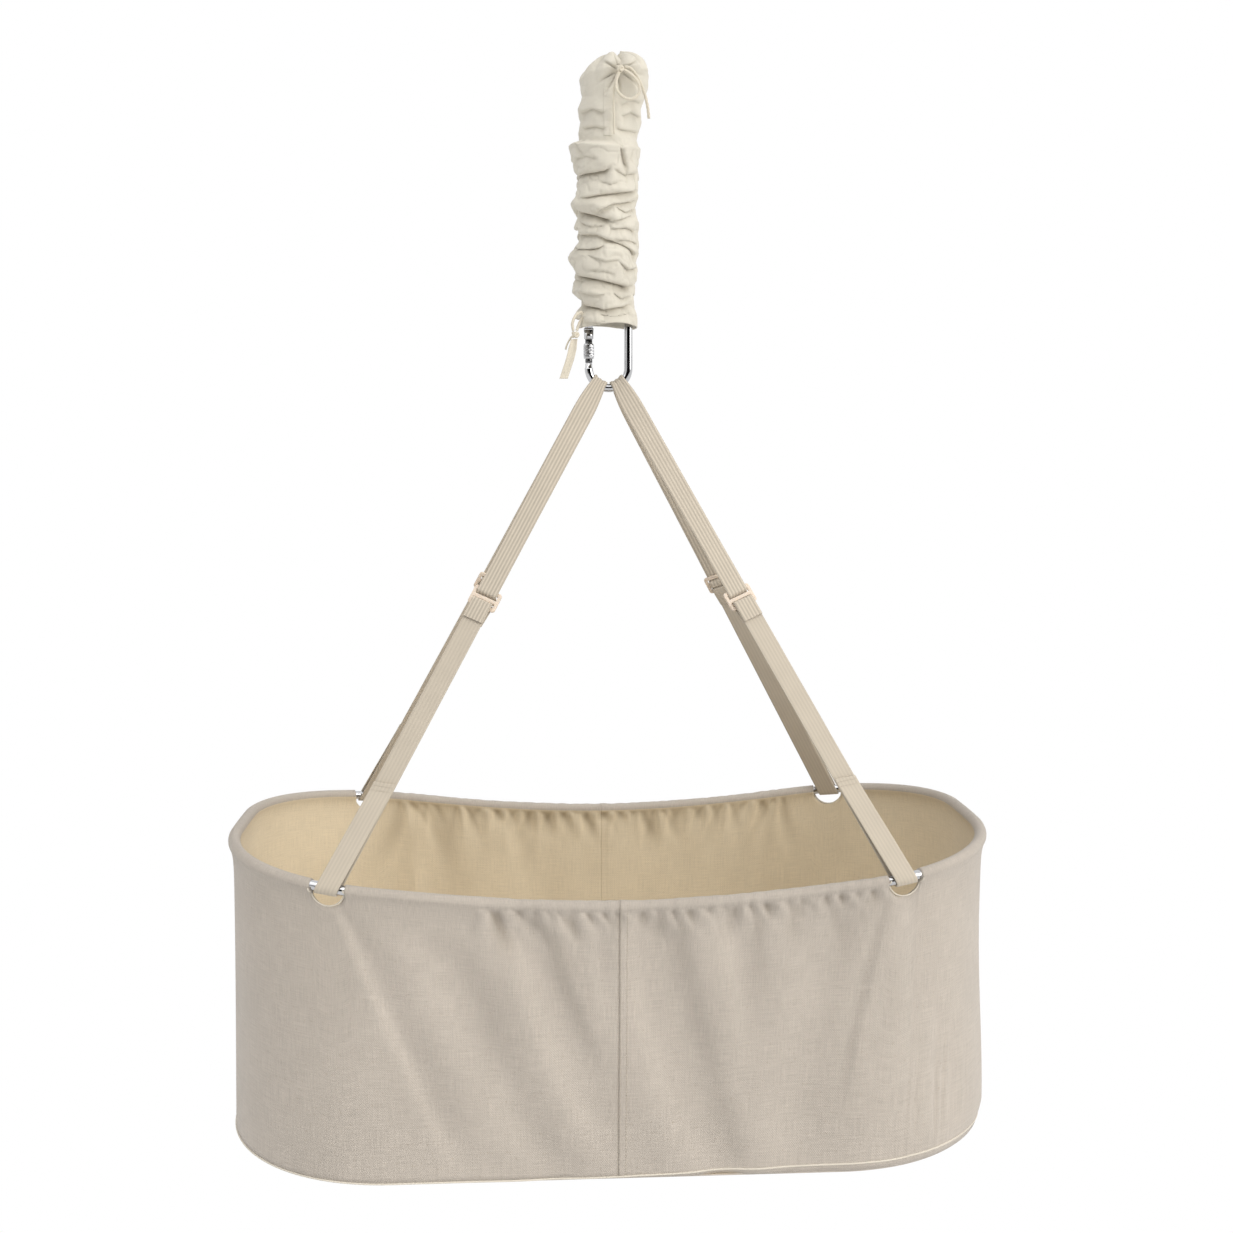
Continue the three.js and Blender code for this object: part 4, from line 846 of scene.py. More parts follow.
def wall_section(row):
    """Depth of a row in the outer wall and in the inner one, as shares of the wall, and its
    angle round the rod; rows run from the outer seam over the rod to the inner seam."""
    outer = np.clip(1 - row / WALL_ROWS, 0, 1) ** ROW_SPREAD
    inner = np.clip((row - WALL_ROWS - HEM_ROWS) / LINING_ROWS, 0, 1) ** ROW_SPREAD
    over = np.clip((row - WALL_ROWS) / HEM_ROWS, 0, 1)
    angle = -HEM_TURN + (math.pi + 2 * HEM_TURN) * over
    return outer, inner, angle


def flare(depth, width, reach):
    """Half the wall's thickness under the hem, where its two layers come together."""
    fade = np.clip(1 - depth / 0.06, 0, 1) ** 0.5
    start = HEM_REACH * math.cos(HEM_TURN)
    return width + (start - width) * np.exp(-np.maximum(depth - HEM_DROP, 0) / reach) * fade


def end_bulge(length, share, side):
    """Slack of the canvas low down at each end."""
    place = 0.47 if side > 0 else 0.43
    swell = np.exp(-((length - place) / 0.09) ** 2) * smoothstep(0.25, 0.9, share)
    return (7.5 if side > 0 else -1.0) * MM * swell * (1 - 0.75 * smoothstep(0.93, 1, share))


def wall_shape(side, fold_depth):
    """Where the cloth of one panel goes; u runs round the rim and v from the outer seam over
    the rod to the inner seam."""
    def shape(u, v):
        row = v * ALL_ROWS
        length = u * HALF_ROUND
        rim, normal = rim_points(step_at(length))
        base, _ = plan(step_at(length), BASE_HALF_LENGTH, BASE_HALF_WIDTH, BASE_HALF_WIDTH)
        away = np.min([np.abs(length - n) for n in NOTCHES], axis=0)
        notch = np.sqrt(np.maximum(NOTCH_RADIUS ** 2 - away ** 2, 0))
        in_notch = away < NOTCH_GAP
        outer, inner, angle = wall_section(row)
        height = rim[:, 2] - SEAM
        top = np.where(in_notch, np.maximum(notch, HEM_DROP), HEM_DROP)
        on_rod = (row >= WALL_ROWS) & (row <= WALL_ROWS + HEM_ROWS)
        share_down = np.where(row < WALL_ROWS, outer, inner)
        depth = top + (height - top) * share_down
        ruck = relief_of(length, np.maximum(depth, 0.004), side) * fold_depth
        # Each end wall's flat middle narrows to one point of the base and has no folds
        from_end = np.abs(length - HALF_ROUND / 2) - (RIM_HALF_WIDTH - RIM_ARC)
        ruck = ruck * smoothstep(0, 50 * MM, from_end)
        front = row < WALL_ROWS + HEM_ROWS / 2
        out = np.where(front, flare(depth, 0.8 * MM, 13 * MM), -flare(depth, 0.8 * MM, 8 * MM))
        slim = smoothstep(0, 6 * MM, depth - notch) * in_notch + ~in_notch
        out = np.where(in_notch, out * (0.15 + 0.85 * slim), out)
        share = np.clip(depth / height, 0, 1)
        out += ruck + end_bulge(length, share, side) * smoothstep(0, 60 * MM, from_end)
        rod_side = np.sqrt(np.maximum((RIM_ROD + 0.6 * MM) ** 2 - depth * depth, 0))
        beside = (rod_side > 0) & ~in_notch
        held = np.where(front, np.maximum(out, rod_side), np.minimum(out, -rod_side))
        out = np.where(beside, held, out)
        turned = HEM_REACH + 0.45 * ruck
        rod = on_rod & ~in_notch
        depth = np.where(rod, -turned * np.sin(angle), depth)
        out = np.where(rod, turned * np.cos(angle) + 0.3 * ruck, out)
        edge = on_rod & in_notch
        out = np.where(edge, ruck + 0.1 * MM * np.cos(angle), out)
        place = rim + (base - rim) * share[:, None] * ~on_rod[:, None] + normal * out[:, None]
        place[:, 2] = rim[:, 2] - depth
        ends = (length < 1e-6) | (length > HALF_ROUND - 1e-6)
        lap = -LAP if side > 0 else 0.3 * MM
        place[:, 0] = np.where(ends, lap, np.minimum(place[:, 0], -LAP)) * -side
        # Painted shade in the tucks under the hem, on the outer and the inner side, none on the
        # rod
        tucked = tucks_at(length, np.maximum(depth, 0), side)
        crease_shade = np.where(front, tucked, np.maximum(-tucked, 0) + np.maximum(tucked, 0) * 0.4)
        return np.hstack([place, (np.clip(crease_shade, 0, 1) * ~on_rod)[:, None]])
    return shape


BINDING_RADIUS = 0.95 * MM
PIPING_RADIUS = 1.1 * MM
BASE_THICKNESS = CANVAS * 0.8


def canvas_wall(side, fold_depth):
    """One side panel: outer wall, hem round the rod and inner wall in one closed cloth."""
    name = "left" if side < 0 else "right"
    bm = shaped_grid(WALL_COLUMNS, ALL_ROWS, wall_shape(side, fold_depth),
                     (HALF_ROUND, 2 * DEPTH))
    # From this row on, the faces take the lighter copy of the canvas that paints light on the
    # inner side
    lit_inner_side = WALL_ROWS + HEM_ROWS * 0.92
    for index, face in enumerate(bm.faces):
        face.material_index = int(index // WALL_COLUMNS >= lit_inner_side)
    bmesh.ops.bridge_loops(bm, edges=[edge for edge in open_edges(bm) if all(
        abs(vert.co.z - SEAM) < 0.01 * MM for vert in edge.verts)])
    merge_points(bm, 0.02 * MM)
    fill_holes(bm)
    split_large_faces(bm)
    face_outwards(bm)
    return make_piece(f"{name}_canvas", bm, ["outer_canvas", "inner_canvas_lit"], "basket",
                      [f"{name}_side_panel"])


def notch_edges():
    """The bound edges of the four notches."""
    parts = []
    for signs in CORNERS.values():
        angles = np.linspace(math.radians(20), math.radians(-200), 60)
        centre, normal = NOTCH_POINT[0].copy(), NOTCH_NORMAL[0]
        centre[2] = RIM_HEIGHT
        along = np.array((-normal[1], normal[0], 0))
        path = centre + NOTCH_RADIUS * (
            np.cos(angles)[:, None] * along + np.sin(angles)[:, None] * np.array((0, 0, 1.0))
        )
        # Above the wall the edge follows the ends of the rolled hem, on their outer side
        lift = smoothstep(-HEM_RADIUS, 0, path[:, 2] - RIM_HEIGHT) * HEM_RADIUS * 0.95
        path = path + normal * lift[:, None]
        keep = path[:, 2] < RIM_HEIGHT + 1 * MM
        bm = tube(path[keep], BINDING_RADIUS, 8, strands=2, twist=TAU / 0.004)
        parts.append(mirrored(bm, *signs))
    return make_piece("notch_binding", joined(*parts), ["hem_canvas"], "basket", ())


def seam_piping(fold_depth):
    """Fine piping where the sides meet the base; the base is drawn up the front right."""
    halves = []
    for side in (-1, 1):
        length = np.linspace(0, HALF_ROUND, 300)
        rim, _ = rim_points(step_at(length))
        x = rim[:, 0] * -side
        raised = 9 * MM * smoothstep(-0.12, 0.30, x) * smoothstep(0.02, -0.06, rim[:, 1])
        raised = raised * smoothstep(0.47, 0.40, x) + 0.4 * MM
        share = 1 - raised / (rim[:, 2] - SEAM - HEM_DROP)
        row = WALL_ROWS * (1 - share ** (1 / ROW_SPREAD))
        places = wall_shape(side, fold_depth)(length / HALF_ROUND, row / ALL_ROWS)[:, :3]
        places[:, 2] -= 0.5 * MM
        halves.append(places)
    path = np.vstack([halves[0][1:-1], halves[1][-2:0:-1]])
    keep = np.concatenate([[True], np.linalg.norm(np.diff(path, axis=0), axis=1) > 0.5 * MM])
    bm = tube(path[keep], PIPING_RADIUS, 8, closed=True)
    return make_piece("base_piping", bm, ["hem_canvas"], "basket", ())


def base_steps(share):
    """Steps round the left half of the base, by share of its length; its ends are round."""
    straight, bend = BASE_HALF_LENGTH - BASE_HALF_WIDTH, BASE_HALF_WIDTH * math.pi / 2
    along = (straight + bend) * (1 - np.abs(1 - 2 * share))
    in_bend = SIDE_STEPS + (along - straight) / bend * CORNER_STEPS
    steps = np.where(along < straight, along / straight * SIDE_STEPS, in_bend)
    return np.where(share > 0.5, 2 * QUARTER - steps, steps)


def base_canvas():
    """The base of the basket: a shallow sagging tray under the board."""
    def shape(u, v):
        half_share = np.where(u < 0.5, u * 2, 2 - u * 2)
        length = half_share * HALF_ROUND
        inset = (BASE_HALF_WIDTH - 7 * MM) * v
        outer, normal = plan(base_steps(half_share), BASE_HALF_LENGTH, BASE_HALF_WIDTH,
                             BASE_HALF_WIDTH)
        place = outer - normal * (inset - 1 * MM)[:, None]
        ruck = np.sin(length * 95) * np.sin(length * 31 + 1) * np.exp(-inset / 0.02)
        sag = BASE_SAG * smoothstep(0, BASE_SLOPE, inset)
        place[:, 2] = TRAY_TOP - 0.4 * MM - CANVAS * smoothstep(0, 0.008, inset) * 0.8 - sag
        place[:, 2] += 0.7 * MM * ruck * smoothstep(0, 0.006, inset)
        place[:, 0] *= np.where(u < 0.5, 1, -1)
        return place
    bm = shaped_grid(520, 26, shape, (2 * HALF_ROUND, BASE_HALF_WIDTH))
    merge_points(bm, 0.05 * MM)
    middle = [edge for edge in open_edges(bm) if abs(edge.verts[0].co.y) < 20 * MM
              and abs(edge.verts[0].co.x) < BASE_HALF_LENGTH - BASE_HALF_WIDTH / 2]
    filled = bmesh.ops.holes_fill(bm, edges=middle, sides=0)["faces"]
    bmesh.ops.triangulate(bm, faces=filled)
    face_outwards(bm, Vector((0, 0, SEAM + 0.1)))
    # The base's inner side also takes the lighter copy of the canvas, painted light inside the
    # basket
    base = make_piece("base_canvas", bm, ["outer_canvas", "inner_canvas_lit"], "basket",
                      ["base_panel"])
    thicken(base, BASE_THICKNESS, 1)
    return base


def rim_rod():
    """The steel rod in the hem."""
    left = rim_points(step_at(np.linspace(0, HALF_ROUND, 400)))[0]
    path = np.vstack([left, left[-2:0:-1] * np.array((-1, 1, 1))])
    bm = tube(path, RIM_ROD, 16, closed=True)
    make_piece("steel_rim_rod", bm, ["bright_steel"], "basket", ["rim_rod"])


def seam_stitches(fold_depth):
    """Rows of stitches beside the front and back seams, twin ones on the right side."""
    near, far = 1.2 * MM, 8.5 * MM
    rows = np.linspace(0.4, WALL_ROWS + 0.3 * HEM_ROWS, 160)
    routes = []
    for side, places in ((-1, (near,)), (1, (near, far))):
        shape = wall_shape(side, fold_depth)
        for start, step, facing in ((0, 1, -1.0), (HALF_ROUND, -1, 1.0)):
            for place in places:
                u = np.full_like(rows, (start + step * place) / HALF_ROUND)
                points = shape(u, rows / ALL_ROWS)[:, :3]
                routes.append((points, np.tile((0.0, facing, 0.0), (len(rows), 1))))
    bm = stitches(routes, 3.4 * MM, 0.42 * MM, 0.35)
    return make_piece("canvas_stitches", bm, ["sewing_thread"], "basket", ())


def mattress():
    """The mattress: the CAD form swelled by a short cloth simulation, then quilted."""
    bm = bmesh.new()
    bm.from_mesh(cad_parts["mattress"].data)
    merge_points(bm, 0.01 * MM)
    low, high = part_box("mattress")
    centre = (low + high) / 2
    shrink = Matrix.Translation(centre) @ Matrix.Diagonal((0.985, 0.975, 0.86, 1))
    bmesh.ops.transform(bm, matrix=shrink @ Matrix.Translation(-centre), verts=bm.verts[:])
    pad = make_piece("mattress_pad", bm, ["quilted_cotton"], None)
    remesh = pad.modifiers.new("remesh", "REMESH")
    remesh.mode = "VOXEL"
    remesh.voxel_size = 0.006
    apply_modifiers(pad)
    swell(pad, pressure=4.0, cap=12 * MM)
    bm = bmesh.new()
    bm.from_mesh(pad.data)
    floor = low.z + 0.2 * MM
    quilt = 110 * MM
    for vert in bm.verts:
        x, y, z = vert.co
        if z > centre.z:
            rows = (abs(math.sin(math.pi * x / quilt))
                    * abs(math.sin(math.pi * (y + quilt / 2) / quilt)))
            vert.co.z -= 2.6 * MM * (1 - rows ** 0.35)
        vert.co.z = max(vert.co.z, floor)
    layer = bm.loops.layers.uv.new("UVMap")
    for face in bm.faces:
        for loop in face.loops:
            loop[layer].uv = (loop.vert.co.x, loop.vert.co.y + loop.vert.co.z)
    bm.to_mesh(pad.data)
    bm.free()
    pad.data.shade_smooth()
    fine = pad.modifiers.new("smooth", "SUBSURF")
    fine.levels = fine.render_levels = 1
    apply_modifiers(pad)
    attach(pad, "basket")
    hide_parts("mattress")


def apply_modifiers(piece):
    """Makes the piece's mesh what its modifiers show, and removes them."""
    graph = bpy.context.evaluated_depsgraph_get()
    mesh = bpy.data.meshes.new_from_object(piece.evaluated_get(graph))
    old = piece.data
    piece.modifiers.clear()
    piece.data = mesh
    bpy.data.meshes.remove(old)


def swell(piece, pressure, cap):
    """Short cloth simulation from inside pressure, with no gravity and a cap on movement."""
    before = np.array([vert.co for vert in piece.data.vertices])
    cloth = piece.modifiers.new("cloth", "CLOTH")
    cloth.settings.use_pressure = True
    cloth.settings.uniform_pressure_force = pressure
    cloth.settings.effector_weights.gravity = 0
    cloth.settings.quality = 4
    cloth.point_cache.frame_start, cloth.point_cache.frame_end = 1, 20
    scene = bpy.context.scene
    for step in range(1, 21):
        scene.frame_set(step)
    apply_modifiers(piece)
    scene.frame_set(1)
    after = np.array([vert.co for vert in piece.data.vertices])
    move = after - before
    far = np.linalg.norm(move, axis=1)
    move *= (np.minimum(far, cap) / np.maximum(far, 1e-9))[:, None]
    piece.data.vertices.foreach_set("co", (before + move).ravel())
    piece.data.update()


# Webbing legs


def unit(vector):
    return vector / np.linalg.norm(vector)


BOW_WIRE = np.array((-BOW * math.sin(BOW_ANGLE), 0, LOWER_ARC - BOW * math.cos(BOW_ANGLE)))
BOW_ALONG = np.array((math.cos(BOW_ANGLE), 0, -math.sin(BOW_ANGLE)))
BOW_UP = np.array((math.sin(BOW_ANGLE), 0, math.cos(BOW_ANGLE)))
RIM_WIRE = np.array((-NOTCH_X, -NOTCH_Y, RIM_HEIGHT))
RIM_OUT = NOTCH_NORMAL[0]
RIM_ALONG = np.array((
    -RIM_OUT[1] * math.cos(ROD_TILT), RIM_OUT[0] * math.cos(ROD_TILT), -math.sin(ROD_TILT)
))
RIM_UP = np.cross(RIM_OUT, RIM_ALONG)
LEG_DOWN = unit(RIM_WIRE - BOW_WIRE)
BOW_WRAP = CARABINER_ROD / 2 + BOW_GAP + WEB_THICKNESS / 2
RIM_WRAP = RIM_ROD + ROD_GAP + WEB_THICKNESS / 2
BOW_TOUCH = unit(np.cross(LEG_DOWN, BOW_ALONG))
BOW_TOUCH = -BOW_TOUCH if BOW_TOUCH[1] > 0 else BOW_TOUCH
RIM_TOUCH = unit(np.cross(RIM_ALONG, LEG_DOWN))
RIM_TOUCH = -RIM_TOUCH if RIM_TOUCH[1] < 0 else RIM_TOUCH
LEG_TOP = BOW_WIRE + BOW_TOUCH * BOW_WRAP
LEG_BOTTOM = RIM_WIRE + RIM_TOUCH * RIM_WRAP
LEG_LENGTH = float(np.linalg.norm(LEG_BOTTOM - LEG_TOP))
LEG_LINE = (LEG_BOTTOM - LEG_TOP) / LEG_LENGTH
ACROSS = unit(RIM_ALONG - LEG_LINE * (RIM_ALONG @ LEG_LINE))
SLIDER_OUT = np.cross(ACROSS, -LEG_LINE)
HALF_SLIDER = OUTER_BAR + SLOT + MIDDLE_BAR / 2
BAR_OFFSET = SLIDER_THICKNESS / 2 + FIT_GAP + WEB_THICKNESS / 2
SLIDER_AT = SLIDER_SHARE * LEG_LENGTH
BELOW_SLIDER = LEG_LENGTH - SLIDER_AT
SLIDER_CENTRE = LEG_TOP + LEG_LINE * SLIDER_AT - SLIDER_OUT * BAR_OFFSET
SLOT_MIDDLE = MIDDLE_BAR / 2 + SLOT / 2
SLOT_RUN = BAR_OFFSET / math.tan(SLOT_LEAN)
LAYER = WEB_THICKNESS + FIT_GAP
HALF_WEB = WEB_WIDTH / 2
LEG_SLOPE = RIM_ALONG @ LEG_LINE
RIM_HALF_WEB = RIM_ALONG * HALF_WEB * math.sqrt(1 + LEG_SLOPE ** 2 / (1 - LEG_SLOPE ** 2))
CORNERS = {
    "front_left": (1, 1), "back_left": (1, -1), "front_right": (-1, 1), "back_right": (-1, -1)
}


def at_slider(down, out):
    """A point by its place down the leg from the slider and its height over the slider."""
    return SLIDER_CENTRE + LEG_LINE * down + SLIDER_OUT * out


def upper_stations():
    """Tail on the front slider, up over the bow and down to the back slider."""
    half = ACROSS * HALF_WEB
    none = np.zeros(3)
    tail = BAR_OFFSET + LAYER
    low_slot = MIDDLE_BAR / 2 + FIT_GAP + WEB_THICKNESS / 2
    flat = [
        (HALF_SLIDER + TAIL_LENGTH, tail), (HALF_SLIDER, tail), (low_slot + FIT_GAP, tail),
        (low_slot, -BAR_OFFSET), (-SLOT_MIDDLE + SLOT_RUN, -BAR_OFFSET),
        (-SLOT_MIDDLE - SLOT_RUN, BAR_OFFSET), (-HALF_SLIDER, BAR_OFFSET),
        (-HALF_SLIDER - BUNCH_LENGTH / 2, BAR_OFFSET),
    ]
    stations = [(at_slider(*place), half, none, 0.0) for place in flat]
    rise = (WEB_BUNCHED / 2) ** 2 / (2 * BOW)
    free = SLIDER_AT - HALF_SLIDER - BUNCH_LENGTH / 2
    steps = 26
    for i in range(1, steps):
        to_bow = free * (1 - i / steps) ** 1.4
        turn = 1 - to_bow / free
        bunch = max(1 - to_bow / BUNCH_LENGTH, 0) ** 2
        across = unit(ACROSS + (BOW_ALONG - ACROSS) * turn ** 2)
        across = unit(across - LEG_LINE * (across @ LEG_LINE) * (1 - turn ** 2))
        width = HALF_WEB + (WEB_BUNCHED / 2 - HALF_WEB) * bunch
        place = LEG_TOP + LEG_LINE * to_bow
        stations.append((place, across * width, BOW_UP * rise * bunch, bunch))
    start = math.asin(BOW_TOUCH @ BOW_UP)
    for angle in np.linspace(start, math.pi / 2, 12):
        place = BOW_WIRE + BOW_WRAP * (
            BOW_UP * math.sin(angle) - np.array((0, math.cos(angle), 0))
        )
        stations.append((place, BOW_ALONG * WEB_BUNCHED / 2, BOW_UP * rise, 1.0))
    flip = np.array((1, -1, 1))
    back = [(p * flip, h * flip, l * flip, b) for p, h, l, b in stations[-2::-1]]
    return stations + back


def lower_stations():
    """Flap behind the slider's bottom bar, down to the rod, round it and up to its end."""
    half = ACROSS * HALF_WEB
    none = np.zeros(3)
    slot_at = MIDDLE_BAR / 2 + SLOT - FIT_GAP - WEB_THICKNESS / 2
    flat = [
        (HALF_SLIDER + FLAP_LENGTH, BAR_OFFSET - LAYER),
        (HALF_SLIDER + FIT_GAP + WEB_THICKNESS, -BAR_OFFSET),
        (slot_at, -BAR_OFFSET), (slot_at, BAR_OFFSET),
    ]
    stations = [(at_slider(*place), half, none, 0.0) for place in flat]
    top = BELOW_SLIDER - STITCH_HEIGHT
    for share in np.linspace(0.1, 1, 10):
        place = at_slider(HALF_SLIDER + (top - HALF_SLIDER) * share, BAR_OFFSET)
        stations.append((place, half + (RIM_HALF_WEB - half) * share, none, 0.0))
    stations.append((LEG_BOTTOM, RIM_HALF_WEB, none, 0.0))
    inner = math.pi + math.atan2(-(RIM_TOUCH @ RIM_UP), -(RIM_TOUCH @ RIM_OUT))
    outer = inner + math.pi + math.atan2(2 * RIM_WRAP - LAYER, STITCH_HEIGHT)
    for angle in np.linspace(inner, outer, 17)[1:]:
        place = RIM_WIRE + RIM_WRAP * (RIM_OUT * math.cos(angle) + RIM_UP * math.sin(angle))
        height = (place - LEG_BOTTOM) @ RIM_UP
        place = place + RIM_ALONG * height * LEG_SLOPE / (LEG_LINE @ RIM_UP)
        stations.append((place, RIM_HALF_WEB, none, 0.0))
    for down in (top, top - STITCH_TO_END):
        stations.append((at_slider(down, BAR_OFFSET + LAYER), RIM_HALF_WEB, none, 0.0))
    return stations


def even_stations(stations, pitch=0.9 * MM, passes=3):
    """Stations at an even pitch with their corners rounded, and the length of the strap."""
    rows = np.array([np.concatenate([p, h, l, [b]]) for p, h, l, b in stations])
    lengths = run_lengths(rows[:, :3])
    even = resampled(rows, lengths, np.linspace(0, lengths[-1], int(lengths[-1] / pitch)))
    for _ in range(passes):
        even[1:-1] = (even[:-2] + 2 * even[1:-1] + even[2:]) / 4
    return even, lengths[-1]


def hang_between(piece):
    """Bakes the strap's place into its mesh."""
    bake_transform(piece)


def webbing(name, stations, signs, replaced, seed, material="strap_webbing"):
    """One strap of webbing along its stations, ribbed and a little uneven."""
    even, length = even_stations(stations)
    points, half, lift, bunch = even[:, :3], even[:, 3:6], even[:, 6:9], even[:, 9]
    normal = np.cross(half, np.gradient(points, axis=0))
    normal /= np.linalg.norm(normal, axis=1)[:, None]
    side = np.linspace(-0.955, 0.955, 16)
    edge = [(0.985, 0.62), (1.0, 0.0), (0.985, -0.62)]
    section = ([(a, 1.0) for a in side] + edge + [(a, -1.0) for a in side[::-1]]
               + [(-a, -b) for a, b in edge])
    section = np.array(section + section[:1])
    phase = random.Random(seed).uniform(0, TAU)

    def shape(u, v):
        row = nearest(v, len(points))
        a, b = section[nearest(u, len(section))].T
        gather = bunch[row] * 0.4 * MM * np.cos(a * 3 * math.pi + phase)
        thick = WEB_THICKNESS / 2 * (1 + 0.05 * np.cos(a * 6 * math.pi))
        weave = 0.12 * MM * np.sin(v * length / 0.013 + phase) * np.sin(a * 2 + phase)
        out = (b * thick + gather + weave)[:, None]
        return (points[row] + half[row] * a[:, None] + lift[row] * (a * a)[:, None]
                + normal[row] * out)

    bm = shaped_grid(len(section) - 1, len(points) - 1, shape, (2 * WEB_WIDTH, length))
    merge_points(bm)
    fill_holes(bm)
    face_outwards(bm)
    mirrored(bm, *signs)
    hang_between(make_piece(name, bm, [material], None, [replaced]))


def strap_stitches():
    """Rows of stitches over the doubled webbing above the rod and under each slider."""
    top, outside = BELOW_SLIDER - STITCH_HEIGHT, BAR_OFFSET + LAYER
    rows = []
    for down, half, offset in (
        (top, RIM_HALF_WEB, outside),
        (top - STITCH_TO_END * 0.55, RIM_HALF_WEB, outside),
        (HALF_SLIDER + FLAP_LENGTH * 0.72, ACROSS * HALF_WEB, BAR_OFFSET),
    ):
        surface = at_slider(down, offset + WEB_THICKNESS / 2)
        points = surface + half * np.linspace(-0.88, 0.88, 12)[:, None]
        rows.append((points, np.tile(SLIDER_OUT, (len(points), 1))))
    parts = [mirrored(stitches(rows, 2.6 * MM, 0.34 * MM), *signs) for signs in CORNERS.values()]
    hang_between(make_piece("strap_stitches", joined(*parts), ["sewing_thread"], None, ()))


def bevel(bm, edges, offset, segments):
    bmesh.ops.bevel(bm, geom=edges, offset=offset, segments=segments, profile=0.5,
                    affect="EDGES", material=-1)


def slider(name, signs):
    """A moulded three-bar buckle with rounded corners and softened edges."""
    bm = bmesh.new()
    xs = (-SLIDER_WIDTH / 2, -SLOT_WIDTH / 2, SLOT_WIDTH / 2, SLIDER_WIDTH / 2)
    inner, outer = MIDDLE_BAR / 2, MIDDLE_BAR / 2 + SLOT
    ys = (-HALF_SLIDER, -outer, -inner, inner, outer, HALF_SLIDER)
    bmesh.ops.create_grid(bm, x_segments=3, y_segments=5, size=0.5)
    for vert in bm.verts:
        column, row = round((vert.co.x + 0.5) * 3), round((vert.co.y + 0.5) * 5)
        vert.co = (xs[column], ys[row], -SLIDER_THICKNESS / 2)
    holes = [f for f in bm.faces if abs(f.calc_center_median().x) < SLOT_WIDTH / 4
             and inner < abs(f.calc_center_median().y) < outer]
    bmesh.ops.delete(bm, geom=holes, context="FACES")
    made = bmesh.ops.extrude_face_region(bm, geom=bm.faces[:])["geom"]
    lifted = [v for v in made if isinstance(v, bmesh.types.BMVert)]
    bmesh.ops.translate(bm, verts=lifted, vec=(0, 0, SLIDER_THICKNESS))
    face_outwards(bm)
    corners = [e for e in bm.edges if all(
        abs(abs(v.co.x) - SLIDER_WIDTH / 2) < 1e-6 and abs(abs(v.co.y) - HALF_SLIDER) < 1e-6
        for v in e.verts)]
    bevel(bm, corners, 3.3 * MM, 6)
    sharp = [e for e in bm.edges if len(e.link_faces) == 2 and e.calc_face_angle() > 1]
    bevel(bm, sharp, 0.75 * MM, 3)
    merge_points(bm, 0.01 * MM)
    split_large_faces(bm)
    turn = Matrix(np.stack([ACROSS, -LEG_LINE, SLIDER_OUT], 1).tolist())
    place = Matrix.Translation(SLIDER_CENTRE) @ turn.to_4x4()
    bmesh.ops.transform(bm, matrix=place, verts=bm.verts[:])
    mirrored(bm, *signs)
    make_piece(f"moulded_slider_{name}", bm, ["moulded_plastic"], f"slider_{name}",
               [f"slider_{name}"])


# Steel parts


EYE_MIDDLE = (EYE_BORE + EYE_WIRE) / 2
EYE_HEAD = 10 * MM
EYE_HEAD_THICKNESS = 3 * MM
GATE_GAP = 0.5 * MM
GATE_SHOULDER = HINGE_Z - 8.4 * MM
TONGUE_HALF = 2.2 * MM
HINGE_SLOT_HALF = 2.5 * MM
NOSE_RADIUS = 4.9 * MM
PIN_RADIUS = 1.5 * MM
THREADS, THREAD_PITCH, THREAD_DEPTH = 12, 1.1 * MM, 0.35 * MM
COLLAR_LOW, COLLAR_HIGH = HINGE_Z - 29 * MM, HINGE_Z - 11 * MM
COLLAR_BORE, COLLAR_RADIUS = 4.5 * MM, 6.2 * MM
KNURLS, KNURL_DEPTH = 14, 0.5 * MM


def swivel_eye(name, centre_z, axis, down, body, replaced):
    """A welded eye on a neck with a coned head inside the spring."""
    eye = ring((0, 0, centre_z), axis, EYE_MIDDLE, EYE_WIRE / 2)
    neck, chamfer = EYE_WIRE / 2, 0.6 * MM
    cone_drop = (SPRING_LENGTH - SPRING_WIRE) * SPRING_CONE_TURNS / SPRING_TURNS
    rise = (EYE_HEAD - neck) * cone_drop / (SPRING_RADIUS - SPRING_NECK)
    start = EYE_OUTER + SPRING_TO_EYE + neck
    cone, top = start + rise, start + rise + EYE_HEAD_THICKNESS
    profile = [(0, EYE_MIDDLE), (neck, EYE_MIDDLE), (neck, start),
               (EYE_HEAD - chamfer, cone - 0.4 * MM), (EYE_HEAD, cone), (EYE_HEAD, top - chamfer),
               (EYE_HEAD - chamfer, top), (0, top)]
    stem = lathe([(r, down * h) for r, h in profile], centre=(0, 0, centre_z))
    make_piece(name, joined(eye, stem), ["bright_steel"], body, [replaced])


def coil_spring():
    """The extension spring, whose turns narrow at both ends."""
    steps = 22
    turns = np.linspace(0, SPRING_TURNS, SPRING_TURNS * steps + 1)
    from_end = np.minimum(turns, SPRING_TURNS - turns)
    share = np.clip(from_end / SPRING_CONE_TURNS, 0, 1)
    radius = SPRING_NECK + (SPRING_RADIUS - SPRING_NECK) * share
    drop = (SPRING_LENGTH - SPRING_WIRE) * turns / SPRING_TURNS + SPRING_WIRE / 2
    angle = TAU * turns
    path = np.stack([radius * np.cos(angle), radius * np.sin(angle), SPRING_TOP - drop], 1)
    bm = tube(path, SPRING_WIRE / 2, 8)
    piece = make_piece("coil_spring", bm, ["coil_steel"], None, ["extension_spring"])
    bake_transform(piece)


def turned_on_gate(profile):
    """A body turned about the gate's own line."""
    return lathe(profile, centre=(GATE_X, 0, 0))


